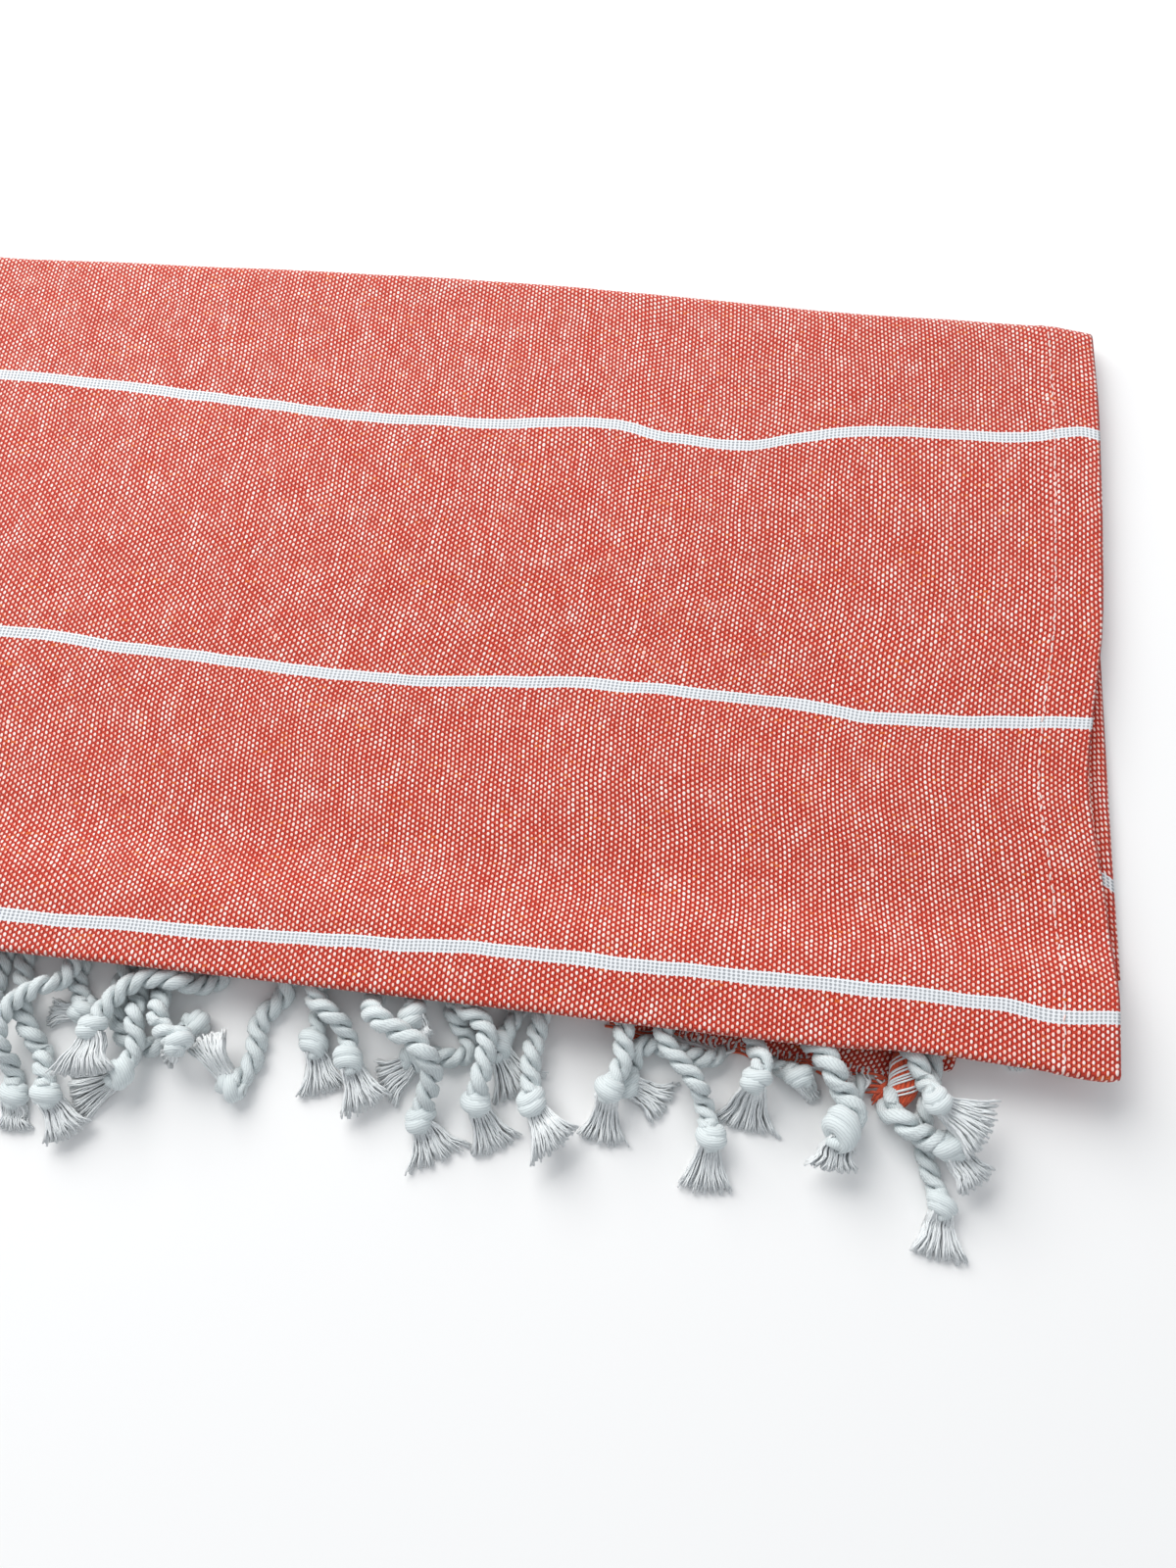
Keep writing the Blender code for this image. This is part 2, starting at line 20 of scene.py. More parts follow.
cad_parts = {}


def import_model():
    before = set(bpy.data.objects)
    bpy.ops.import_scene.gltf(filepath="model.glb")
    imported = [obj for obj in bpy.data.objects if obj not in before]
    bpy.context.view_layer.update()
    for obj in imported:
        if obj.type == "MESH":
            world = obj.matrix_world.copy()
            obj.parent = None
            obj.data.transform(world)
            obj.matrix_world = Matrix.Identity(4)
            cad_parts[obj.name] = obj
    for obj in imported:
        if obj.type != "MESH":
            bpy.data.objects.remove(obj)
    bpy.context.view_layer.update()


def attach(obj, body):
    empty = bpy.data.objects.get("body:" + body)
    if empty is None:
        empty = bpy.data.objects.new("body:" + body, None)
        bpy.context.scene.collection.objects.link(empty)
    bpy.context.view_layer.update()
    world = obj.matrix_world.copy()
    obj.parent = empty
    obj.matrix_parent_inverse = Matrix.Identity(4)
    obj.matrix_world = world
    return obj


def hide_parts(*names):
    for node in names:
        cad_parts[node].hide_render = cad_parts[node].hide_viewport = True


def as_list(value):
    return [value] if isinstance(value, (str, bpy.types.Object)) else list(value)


LOG = logging.getLogger("hammam_towel")
METRE = 0.001
BODY = "root"
YARN_MAP = "yarn_mm"
CLOTH_MAP = "cloth_mm"


# ------------------------ shader building


class Wire:
    """A value in a material, on which Python arithmetic adds Math nodes."""

    def __init__(self, bench: NodeBench, socket: bpy.types.NodeSocket) -> None:
        """Wraps one output socket of the bench's material."""
        self.bench = bench
        self.socket = socket

    def math(self, operation: str, *others: Wire | float) -> Wire:
        """Adds a Math node that starts from this value.

        Args:
            operation: The Math node's operation.
            *others: The values of its further inputs.

        Returns:
            The node's result.
        """
        made = self.bench.node("ShaderNodeMath", {"operation": operation},
                               dict(enumerate((self, *others))))
        return Wire(self.bench, made.outputs[0])

    def __add__(self, other: Wire | float) -> Wire:
        """Sum."""
        return self.math("ADD", other)

    __radd__ = __add__

    def __mul__(self, other: Wire | float) -> Wire:
        """Product."""
        return self.math("MULTIPLY", other)

    __rmul__ = __mul__

    def __sub__(self, other: Wire | float) -> Wire:
        """Difference."""
        return self.math("SUBTRACT", other)

    def __rsub__(self, other: float) -> Wire:
        """Difference from a number."""
        return self.math("MULTIPLY", -1.0).math("ADD", other)

    def __truediv__(self, other: Wire | float) -> Wire:
        """Quotient."""
        return self.math("DIVIDE", other)

    def floor(self) -> Wire:
        """Whole part."""
        return self.math("FLOOR")

    def fract(self) -> Wire:
        """Part after the point."""
        return self.math("FRACT")

    def size(self) -> Wire:
        """Value without its sign."""
        return self.math("ABSOLUTE")

    def clip(self) -> Wire:
        """Value held between 0 and 1."""
        return self.math("MAXIMUM", 0.0).math("MINIMUM", 1.0)

    def step(self, low: float, high: float) -> Wire:
        """Smooth rise from 0 at low to 1 at high, or a fall where high is the smaller."""
        share = ((self - low) / (high - low)).clip()
        return share * share * (3.0 - 2.0 * share)

    def signed(self) -> Wire:
        """Distance from the middle of the unit cell that the value is in, from -1 to 1."""
        return self.fract() * 2.0 - 1.0


class NodeBench:
    """One material's nodes, with the Principled shader that they feed."""

    def __init__(self, name: str) -> None:
        """Starts a material of the given name.

        Args:
            name: The material's name.
        """
        self.material = bpy.data.materials.new(name)
        self.material.use_nodes = True
        self.shader = self.material.node_tree.nodes["Principled BSDF"]

    def node(self, kind: str, settings: dict[str, object],
             inputs: dict[int | str, object]) -> bpy.types.Node:
        """Adds a node.

        Args:
            kind: The node's type.
            settings: Its properties, set before its inputs.
            inputs: What each input socket gets: a Wire, an output socket or a plain value.

        Returns:
            The new node.
        """
        made = self.material.node_tree.nodes.new(kind)
        for name, value in settings.items():
            setattr(made, name, value)
        for key, value in inputs.items():
            self.feed(made.inputs[key], value)
        return made

    def feed(self, socket: bpy.types.NodeSocket, value: object) -> None:
        """Links or sets one input socket.

        Args:
            socket: The input.
            value: A Wire, an output socket or a plain value.
        """
        if isinstance(value, Wire):
            value = value.socket
        if isinstance(value, bpy.types.NodeSocket):
            self.material.node_tree.links.new(value, socket)
        else:
            socket.default_value = value

    def coordinates(self, layer: str) -> tuple[bpy.types.NodeSocket, Wire, Wire]:
        """Reads a UV map.

        Args:
            layer: The map's name.

        Returns:
            Its vector and its two values.
        """
        source = self.node("ShaderNodeUVMap", {"uv_map": layer}, {}).outputs["UV"]
        parts = self.node("ShaderNodeSeparateXYZ", {}, {"Vector": source})
        return source, Wire(self, parts.outputs["X"]), Wire(self, parts.outputs["Y"])

    def point(self, x: Wire | float, y: Wire | float) -> bpy.types.NodeSocket:
        """Joins two values into a vector."""
        return self.node("ShaderNodeCombineXYZ", {}, {"X": x, "Y": y}).outputs["Vector"]

    def cloud(self, place: bpy.types.NodeSocket, scale: float, detail: float = 1.0) -> Wire:
        """Soft noise around 0.5 over two coordinates.

        Args:
            place: The coordinates.
            scale: How close its patches are.
            detail: How fine it gets.

        Returns:
            The noise, from 0 to 1.
        """
        made = self.node("ShaderNodeTexNoise", {"noise_dimensions": "2D"},
                         {"Vector": place, "Scale": scale, "Detail": detail})
        return Wire(self, made.outputs[0])

    def speckle(self, x: Wire, y: Wire) -> Wire:
        """A different number from 0 to 1 for each pair of whole numbers.

        Args:
            x: The first number.
            y: The second.

        Returns:
            The pair's own number.
        """
        made = self.node("ShaderNodeTexWhiteNoise", {"noise_dimensions": "2D"},
                         {"Vector": self.point(x, y)})
        return Wire(self, made.outputs["Value"])

    def blend(self, share: Wire, first: object, second: object) -> bpy.types.NodeSocket:
        """Colour between two colours, each a tuple or a socket.

        Args:
            share: How much of the second colour there is.
            first: The first colour.
            second: The second.

        Returns:
            The blended colour.
        """
        made = self.node("ShaderNodeMix", {"data_type": "RGBA"}, {"Factor": share})
        colours = [socket for socket in made.inputs if socket.type == "RGBA"]
        self.feed(colours[0], first)
        self.feed(colours[1], second)
        return next(socket for socket in made.outputs if socket.type == "RGBA")

    def finish(self, colour: object, height: Wire | None, depth_mm: float,
               constants: dict[str, float]) -> bpy.types.Material:
        """Feeds the shader.

        Args:
            colour: Base colour, a tuple or a socket.
            height: Relief from 0 to 1, or None where there is none.
            depth_mm: Depth of the relief.
            constants: Plain values of further sockets of the shader.

        Returns:
            The finished material.
        """
        self.feed(self.shader.inputs["Base Color"], colour)
        for name, value in constants.items():
            self.shader.inputs[name].default_value = value
        if height is not None:
            bump = self.node("ShaderNodeBump", {}, {"Strength": 1.0, "Height": height,
                                                    "Distance": depth_mm * METRE})
            self.feed(self.shader.inputs["Normal"], bump.outputs["Normal"])
        return self.material


# ------------------------ finishes

Colour = tuple[float, float, float, float]
Triple = tuple[float, float, float]
COTTON: dict[str, float] = {"Roughness": 0.88, "Sheen Weight": 0.25, "Sheen Roughness": 0.5,
                            "Specular IOR Level": 0.25}


@dataclass(frozen=True)
class Threads:
    """Where a point of the cloth lies among its warps and wefts.

    Both are counted from the cloth's corner. Side goes from -1 to 1 over a warp, and level from 0
    in the middle of an oval to 1 half way to the next one on the same warp.
    """

    bench: NodeBench
    place: bpy.types.NodeSocket
    v: Wire
    warps: Wire
    wefts: Wire
    warp: Wire
    oval: Wire
    side: Wire
    across: Wire
    level: Wire
    uneven: Wire
    patch: Wire


@dataclass(frozen=True)
class PlainWeave:
    """Coral wefts over off-white warps, with open white stripes, and painted shade in the gaps
    between the threads.
    """

    warp_pitch: float = 1.05
    stripe_spacing: float = 77.3
    wefts_per_stripe_spacing: int = 102
    # each sway is (how far the threads wander in mm, scale of its noise)
    warp_sways: tuple[tuple[float, float], ...] = ((1.6, 0.045), (0.22, 0.6))
    weft_sways: tuple[tuple[float, float], ...] = ((1.5, 0.05), (0.14, 0.7))
    oval_width: float = 0.74
    oval_length: float = 0.76
    stripe_wefts: float = 2.02
    stripe_scallop: float = 0.32
    relief: float = 0.17
    coral: Colour = (0.66, 0.055, 0.026, 1.0)
    # dark coral for random weft tones, and for the painted shade in the gaps between threads
    coral_dark_and_painted_shade: Colour = (0.21, 0.006, 0.003, 1.0)
    coral_orange: Colour = (0.76, 0.125, 0.020, 1.0)
    warp_pink: Colour = (0.96, 0.61, 0.53, 1.0)
    warp_white: Colour = (0.98, 0.82, 0.77, 1.0)
    stripe_white: Colour = (0.79, 0.81, 0.84, 1.0)
    # painted shade in the gaps of the stripes' open grid
    stripe_gap_shade: Colour = (0.26, 0.28, 0.31, 1.0)

    @property
    def weft_pitch(self) -> float:
        """Distance between wefts, which divides the stripes' spacing."""
        return self.stripe_spacing / self.wefts_per_stripe_spacing

    def material(self, name: str) -> bpy.types.Material:
        """Builds the weave.

        Args:
            name: The material's name.

        Returns:
            The finished material.
        """
        threads = self.threads(NodeBench(name))
        bench = threads.bench
        dot = self.ovals(threads)
        # gaps, mostly on the shaded right of each oval: depth for the relief, painted shade for the
        # colour
        shaded_gap = self.shaded_gaps(threads.side, threads.level, threads.across)
        stripe, gap = self.stripe(threads)
        # the open grid's gaps are painted shade over the stripe white
        white = bench.blend(gap * (0.55 + 0.4 * threads.patch), self.stripe_white, self.stripe_gap_shade)
        colour = bench.blend(stripe, self.ground(threads, dot, shaded_gap), white)

        beside = threads.wefts.signed().size()
        ridge = 1.0 - beside * beside
        low = (0.35 + 0.2 * ridge) * (1.0 - 0.9 * shaded_gap.clip())
        woven = low.math("MAXIMUM", dot.math("POWER", 0.5) * 0.95)
        open_grid = (1.0 - gap) * (0.55 + 0.3 * ridge)
        height = woven + (open_grid - woven) * stripe
        return bench.finish(colour, height, self.relief, COTTON)

    def threads(self, bench: NodeBench) -> Threads:
        """Counts the threads on the cloth's own coordinates in millimetres.

        Args:
            bench: The material's nodes.

        Returns:
            The place of a point among the threads, which wander a little.
        """
        place, u, v = bench.coordinates(CLOTH_MAP)
        for reach, scale in self.warp_sways:
            u = u + (bench.cloud(place, scale) - 0.5) * reach
        crossed = bench.point(v, u)
        for reach, scale in self.weft_sways:
            v = v + (bench.cloud(crossed, scale) - 0.5) * reach
        warps, wefts = u / self.warp_pitch, v / self.weft_pitch
        warp, side = warps.floor(), warps.signed()
        pair = (wefts - warp) * 0.5 + 0.25
        uneven = bench.cloud(bench.point(warp * 7.3, v * 0.16), 1.0)
        return Threads(bench, place, v, warps, wefts, warp, pair.floor(), side, side.size(),
                       pair.signed().size(), uneven, bench.cloud(place, 0.11, 3.0))

    def ovals(self, threads: Threads) -> Wire:
        """Warps that show on every other weft, thick and thin along each warp.

        Args:
            threads: Where the point lies.

        Returns:
            1 in the middle of an oval and 0 from its edge on.
        """
        bench, warp = threads.bench, threads.warp
        slub = bench.cloud(bench.point(warp * 3.1 + 40.0, threads.v * 0.11), 1.0)
        swell = (0.84 + 0.20 * bench.speckle(warp, threads.oval)
                 + (threads.uneven - 0.5) * 0.38 + (threads.patch - 0.5) * 0.3
                 + slub.step(0.80, 0.86) * 0.4)
        wide = threads.across / (self.oval_width * swell)
        long = threads.level / (self.oval_length * swell)
        return (1.0 - wide * wide - long * long).clip()

    @staticmethod
    def shaded_gaps(side: Wire, level: Wire, across: Wire) -> Wire:
        """Gaps between the threads, mostly on the right of each oval where shade falls; they sink
        the relief, and in colour they are painted shade.

        Args:
            side: Place over a warp, from -1 to 1.
            level: Place between two ovals, from 0 to 1.
            across: Side without its sign.

        Returns:
            Depth of the gaps: on the right of each oval, on the left, and between two ovals.
        """
        return (side.step(0.45, 0.80) * level.step(0.85, 0.35)
                + side.step(-0.70, -1.0) * level.step(0.25, 0.75)
                + side.step(-0.45, -0.95) * level.step(0.70, 0.20) * 0.35
                + level.step(0.55, 0.72) * level.step(0.98, 0.80) * across.step(0.85, 0.35) * 0.55)

    def ground(self, threads: Threads, dot: Wire, shaded_gap: Wire) -> bpy.types.NodeSocket:
        """Colour of the cloth between the stripes, with painted shade in the gaps.

        Args:
            threads: Where the point lies.
            dot: The ovals.
            shaded_gap: The gaps.

        Returns:
            The colour.
        """
        bench, weft = threads.bench, threads.wefts.floor()
        shows = dot.step(0.0, 0.70)
        beside = threads.wefts.signed().size()
        # painted shade: the coral darkens in the gaps between threads and along each weft's edges
        painted_shade = (shaded_gap + beside.step(0.5, 1.0) * 0.12).clip() * (1.0 - shows)
        tone = bench.speckle(weft, (threads.warps * 0.07).floor())
        fleck = bench.cloud(bench.point(threads.warps * 0.16, weft * 5.7), 1.0).step(0.66, 0.80)
        coral = bench.blend(tone * 0.22, self.coral, self.coral_dark_and_painted_shade)
        coral = bench.blend(fleck * 0.85, coral, self.coral_orange)
        coral = bench.blend(painted_shade, coral, self.coral_dark_and_painted_shade)
        pale = bench.blend(threads.uneven.step(0.42, 0.72), self.warp_pink, self.warp_white)
        return bench.blend(shows, coral, pale)

    def stripe(self, threads: Threads) -> tuple[Wire, Wire]:
        """Stripes of four white wefts, with an open grid between them.

        Args:
            threads: Where the point lies.

        Returns:
            How much of the point is stripe, and how much of it is a gap of the grid.
        """
        period = float(self.wefts_per_stripe_spacing)
        away = ((threads.wefts / period + 0.5).signed() * (period / 2.0)).size()
        scallop = (1.0 - threads.across * threads.across) * self.stripe_scallop
        stripe = (away - scallop).step(self.stripe_wefts, self.stripe_wefts - 0.16)
        gap_x, gap_y = (threads.warps + 0.5).signed() / 0.66, (away / 1.14 + 0.5).signed() / 0.80
        gap = (1.0 - gap_x * gap_x - gap_y * gap_y).clip().step(0.0, 0.5)
        return stripe, gap * away.step(1.80, 1.60)


@dataclass(frozen=True)
class CottonYarn:
    """Soft off-white or dyed yarn, with strands that run round a ply as it goes and painted shade
    in the grooves between them.
    """

    colour: Colour = (0.69, 0.75, 0.76, 1.0)
    # painted shade colour of the grooves between strands
    shade: Colour = (0.25, 0.28, 0.30, 1.0)
    strands: int = 16
    turn_mm: float = 8.0
    relief: float = 0.08
    # how strongly the grooves are painted in shade
    groove_shade: float = 0.32

    def material(self, name: str) -> bpy.types.Material:
        """Builds the yarn on its own round-and-along coordinates.

        Args:
            name: The material's name.

        Returns:
            The finished material.
        """
        bench = NodeBench(name)
        _, around, along = bench.coordinates(YARN_MAP)
        fuzz = bench.cloud(bench.point(around * 9.0, along * 0.8), 1.0, 2.0)
        strand = (around + along / self.turn_mm) * float(self.strands) + (fuzz - 0.5) * 0.9
        beside = strand.signed().size()
        groove_shade = beside.step(0.45, 1.0)
        patchy = bench.cloud(bench.point(around * 3.0, along * 0.25), 1.0, 2.0)
        # painted shade: the grooves between strands darken towards the shade colour
        colour = bench.blend(groove_shade * self.groove_shade * (0.5 + patchy), self.colour, self.shade)
        height = (1.0 - beside * beside) * 0.8 + fuzz * 0.2
        return bench.finish(colour, height, self.relief, COTTON)


@dataclass(frozen=True)
class PaleFloor:
    """Plain matt studio floor."""

    colour: Colour = (0.88, 0.88, 0.88, 1.0)

    def material(self, name: str) -> bpy.types.Material:
        """Builds the floor's plain material."""
        return NodeBench(name).finish(self.colour, None, 0.0, {"Roughness": 0.9})


ROPE_YARN = CottonYarn()
KNOT_YARN = CottonYarn(strands=18, turn_mm=60.0, groove_shade=0.26)
LOOSE_YARN = CottonYarn(colour=(0.84, 0.87, 0.88, 1.0), shade=(0.55, 0.58, 0.60, 1.0),
                        strands=2, turn_mm=4.0, relief=0.05, groove_shade=0.3)
CORAL_YARN = CottonYarn(colour=(0.78, 0.12, 0.05, 1.0), shade=(0.36, 0.03, 0.015, 1.0),
                        strands=5, turn_mm=7.0, relief=0.12)
SEWING_THREAD = CottonYarn(colour=(0.86, 0.64, 0.60, 1.0), shade=(0.50, 0.25, 0.22, 1.0),
                           strands=2, turn_mm=1.6, relief=0.05)


# ------------------------ curves

Value = float | Vector | np.ndarray
UPWARD = np.array((0.0, 0.0, 1.0))
TINY = 1e-9


def smooth_step(value: float) -> float:
    """Eases from 0 to 1 as the value does."""
    value = min(max(value, 0.0), 1.0)
    return value * value * (3.0 - 2.0 * value)


def hermite(start: Value, end: Value, leave: Value, arrive: Value, share: float) -> Value:
    """Cubic between two values.

    Args:
        start: The first value.
        end: The last value.
        leave: Tangent at the first.
        arrive: Tangent at the last.
        share: How far between them, from 0 to 1.

    Returns:
        The value at that share.
    """
    square, cube = share * share, share * share * share
    return (start * (2 * cube - 3 * square + 1) + leave * (cube - 2 * square + share)
            + end * (3 * square - 2 * cube) + arrive * (cube - square))


@dataclass(frozen=True)
class WanderingLine:
    """A nearly straight line on the cloth, through marks of (how far along, where it is)."""

    marks: tuple[tuple[float, float], ...]

    def at(self, along: float) -> float:
        """Follows the line.

        Args:
            along: How far along it, held between its first and its last mark.

        Returns:
            Where the line is there.
        """
        marks = self.marks
        along = min(max(along, marks[0][0]), marks[-1][0])
        index = next((i for i in range(len(marks) - 1) if along <= marks[i + 1][0]), 0)
        (x1, y1), (x2, y2) = marks[index], marks[index + 1]
        x0, y0 = marks[max(index - 1, 0)]
        x3, y3 = marks[min(index + 2, len(marks) - 1)]
        span = x2 - x1
        return hermite(y1, y2, (y2 - y0) / (x2 - x0) * span, (y3 - y1) / (x3 - x1) * span,
                       (along - x1) / span)


def smooth_route(points: Sequence[Vector], heading: Vector, samples: int = 16) -> list[Vector]:
    """Smooth planar curve through points.

    Args:
        points: What it passes through.
        heading: Its direction at the first point.
        samples: Points on each span.

    Returns:
        The curve's points.
    """
    route = []
    for index in range(len(points) - 1):
        start, end = points[index], points[index + 1]
        reach = (end - start).length
        leave = heading * reach if index == 0 else (end - points[index - 1]).normalized() * reach
        arrive = end - start
        if index + 2 < len(points):
            arrive = (points[index + 2] - start).normalized() * reach
        route.extend(hermite(start, end, leave, arrive, step / samples)
                     for step in range(samples))
    route.append(points[-1])
    return route


def distances(line: np.ndarray) -> np.ndarray:
    """Distance along a line at each of its points, which are its rows."""
    steps = np.linalg.norm(np.diff(line, axis=0), axis=1)
    return np.concatenate(([0.0], np.cumsum(steps)))


def values_at(rows: np.ndarray, along: np.ndarray, targets: np.ndarray | float) -> np.ndarray:
    """Reads values that are known at some distances at others.

    Args:
        rows: The known values, one row a distance.
        along: The distances of the rows.
        targets: The distances to read at, or a single one.

    Returns:
        The values, one row a target.
    """
    return np.stack([np.interp(targets, along, column) for column in rows.T], axis=-1)


def resampled(line: np.ndarray, spacing: float, fewest: int = 3) -> np.ndarray:
    """Points of a line at even distances.

    Args:
        line: The line's points, one a row.
        spacing: The distance to come close to.
        fewest: The least number of spans.

    Returns:
        The new points, one a row.
    """
    along = distances(line)
    count = max(round(along[-1] / spacing), fewest)
    return values_at(line, along, np.linspace(0.0, along[-1], count + 1))


def even_points(route: Sequence[Vector], spacing: float) -> list[Vector]:
    """Points of a planar line at even distances close to the spacing, ends included."""
    xy = np.array([(point.x, point.y) for point in route])
    return [Vector((float(x), float(y))) for x, y in resampled(xy, spacing, 2)]


def rounded(points: np.ndarray, samples: int = 6) -> np.ndarray:
    """Smooth curve through points in space.

    Args:
        points: What it passes through, one a row.
        samples: Points on each span.

    Returns:
        The curve's points, one a row.
    """
    padded = np.vstack((2 * points[0] - points[1], points, 2 * points[-1] - points[-2]))
    line = []
    for index in range(1, len(padded) - 2):
        before, start, end, after = padded[index - 1:index + 3]
        for step in range(samples):
            line.append(hermite(start, end, (end - before) / 2, (after - start) / 2,
                                step / samples))
    line.append(points[-1])
    return np.array(line)


def unit(vectors: np.ndarray) -> np.ndarray:
    """Vectors of length 1, along an array's last axis."""
    return vectors / np.maximum(np.linalg.norm(vectors, axis=-1, keepdims=True), TINY)


def tangents(line: np.ndarray) -> np.ndarray:
    """Unit directions of a line at each of its points."""
    return unit(np.gradient(line, axis=0))


def level_frames(line: np.ndarray) -> tuple[np.ndarray, np.ndarray]:
    """Sideways and upward unit directions at each point of a line that never stands upright.

    Args:
        line: The line's points, one a row.

    Returns:
        The two directions, one row a point.
    """
    ahead = tangents(line)
    aside = unit(np.cross(ahead, UPWARD))
    return aside, np.cross(aside, ahead)


def carried_frames(line: np.ndarray,
                   away_from: np.ndarray | None = None) -> tuple[np.ndarray, np.ndarray]:
    """Two unit directions across a line, of which the first starts out upward.

    Args:
        line: The line's points, one a row.
        away_from: A point that the first direction turns away from. Without it, the directions
            are carried along the line without turning about it.

    Returns:
        The two directions at each point.
    """
    ahead = tangents(line)
    one = UPWARD
    ones = []
    for point, direction in zip(line, ahead):
        if away_from is not None:
            one = one * 0.8 + (point - away_from)
        one = unit(one - direction * float(one @ direction))
        ones.append(one)
    across = np.array(ones)
    return across, np.cross(ahead, across)


# ------------------------ swept tubes


@dataclass
class Tube:
    """One closed tube: its rings of points, and how far along it each ring is."""

    rings: np.ndarray
    along: np.ndarray


def swept(line: np.ndarray, one: np.ndarray, two: np.ndarray, radii_one: np.ndarray,
          radii_two: np.ndarray, sides: int) -> Tube:
    """Tube about a line.

    Args:
        line: The line's points, one a row.
        one: First direction across it at each point.
        two: Second direction across it.
        radii_one: Half sizes in the first direction.
        radii_two: Half sizes in the second.
        sides: Number of sides.

    Returns:
        The tube, closed to a point at both ends.
    """
    angles = np.linspace(0.0, 2.0 * math.pi, sides + 1)
    angles[-1] = 0.0
    rings = (line[:, None, :]
             + one[:, None, :] * (radii_one[:, None] * np.cos(angles))[:, :, None]
             + two[:, None, :] * (radii_two[:, None] * np.sin(angles))[:, :, None])
    return capped(rings, line)


def round_tube(line: np.ndarray, radii: np.ndarray, sides: int) -> Tube:
    """Round tube about a line that never stands upright."""
    aside, upward = level_frames(line)
    return swept(line, aside, upward, radii, radii, sides)


def capped(rings: np.ndarray, line: np.ndarray) -> Tube:
    """Closes a tube's rings, one at each point of a line, to a point at both ends.

    Args:
        rings: The tube's rings, one at each point of a line.
        line: The line.

    Returns:
        The tube, closed to a point at both ends.
    """
    first, last = (np.repeat(ring[:, :-1].mean(axis=1, keepdims=True), rings.shape[1], axis=1)
                   for ring in (rings[:1], rings[-1:]))
    along = distances(line)
    return Tube(np.concatenate((first, rings, last)),
                np.concatenate(([0.0], along, [along[-1]])))


def flat_grid(name: str, columns: int, rows: int, layer: str) -> bpy.types.Mesh:
    """A flat mesh for shaped() to bend.

    Args:
        name: The mesh's name.
        columns: Points across it.
        rows: Points along it.
        layer: Name of its UV map.

    Returns:
        The mesh, whose points run row by row.
    """
    bm = bmesh.new()
    bm.loops.layers.uv.new(layer)
    bmesh.ops.create_grid(bm, x_segments=columns - 1, y_segments=rows - 1, size=0.5, calc_uvs=True)
    mesh = bpy.data.meshes.new(name)
    bm.to_mesh(mesh)
    bm.free()
    return mesh


def shaped(mesh: bpy.types.Mesh, points: np.ndarray, layer: str, places: np.ndarray) -> None:
    """Moves a mesh's points and says where each lies on the cloth or yarn.

    Args:
        mesh: The mesh.
        points: Its points in millimetres, one a row.
        layer: Name of its UV map.
        places: What the map says at each point, one a row.
    """
    mesh.vertices.foreach_set("co", (points * METRE).astype(np.float32).ravel())
    corner_vertex = np.zeros(len(mesh.loops), np.int32)
    mesh.loops.foreach_get("vertex_index", corner_vertex)
    values = places[corner_vertex].astype(np.float32).ravel()
    mesh.uv_layers[layer].uv.foreach_set("vector", values)


@dataclass
class TubeBatch:
    """A piece made of many tubes, on grids whose seams and ends are then merged."""

    tubes: list[Tube] = field(default_factory=list)
    turn_apart: float = 17.0
    merge: float = 1e-8

    def add(self, tubes: Iterable[Tube]) -> None:
        """Takes in more tubes."""
        self.tubes.extend(tubes)

    def build(self, name: str, material: bpy.types.Material) -> bpy.types.Object:
        """Rolls up every tube into one mesh.

        Args:
            name: The piece's name.
            material: Its finish.

        Returns:
            The new piece.
        """
        mesh = self.joined_grids(name)
        points = np.concatenate([tube.rings.reshape(-1, 3) for tube in self.tubes])
        points[:, 2] = np.maximum(points[:, 2], 0.0)
        shaped(mesh, points, YARN_MAP, self.places())
        bm = bmesh.new()
        bm.from_mesh(mesh)
        bmesh.ops.remove_doubles(bm, verts=bm.verts, dist=self.merge)
        bmesh.ops.dissolve_degenerate(bm, edges=bm.edges, dist=self.merge / 10.0)
        bmesh.ops.recalc_face_normals(bm, faces=bm.faces)
        for face in bm.faces:
            face.smooth = True
        bm.to_mesh(mesh)
        bm.free()
        return placed(name, mesh, material)

    def joined_grids(self, name: str) -> bpy.types.Mesh:
        """One mesh with a flat grid for each tube, a column wider than the tube has sides.

        Args:
            name: The mesh's name.

        Returns:
            The mesh, with its tubes still flat.
        """
        grids: dict[tuple[int, int], bpy.types.Mesh] = {}
        bm = bmesh.new()
        for tube in self.tubes:
            rows, columns = tube.rings.shape[:2]
            if (rows, columns) not in grids:
                grids[rows, columns] = flat_grid("grid", columns, rows, YARN_MAP)
            bm.from_mesh(grids[rows, columns])
        mesh = bpy.data.meshes.new(name)
        bm.to_mesh(mesh)
        bm.free()
        for grid in grids.values():
            bpy.data.meshes.remove(grid)
        return mesh

    def places(self) -> np.ndarray:
        """Share of the way round its tube and millimetres along it, for every point.

        Returns:
            One row a point, in the tubes' order.
        """
        rows = []
        for index, tube in enumerate(self.tubes):
            length, sides = tube.rings.shape[:2]
            around = np.tile(np.linspace(0.0, 1.0, sides), length)
            along = np.repeat(tube.along + self.turn_apart * (index % 50), sides)
            rows.append(np.stack((around, along), axis=1))
        return np.concatenate(rows)


def placed(name: str, mesh: bpy.types.Mesh, material: bpy.types.Material) -> bpy.types.Object:
    """Makes a piece of a finished mesh, and logs it.

    Args:
        name: The piece's name.
        mesh: Its mesh.
        material: Its finish.

    Returns:
        The new piece.
    """
    mesh.materials.clear()
    mesh.materials.append(material)
    piece = bpy.data.objects.new(name, mesh)
    bpy.context.scene.collection.objects.link(piece)
    LOG.info("%s: %d faces", name, len(mesh.polygons))
    return piece


# ------------------------ the fold

ROPE_PITCH = 15.6
LOWER_ROOT = 205.0
UPPER_ROOT = 245.0


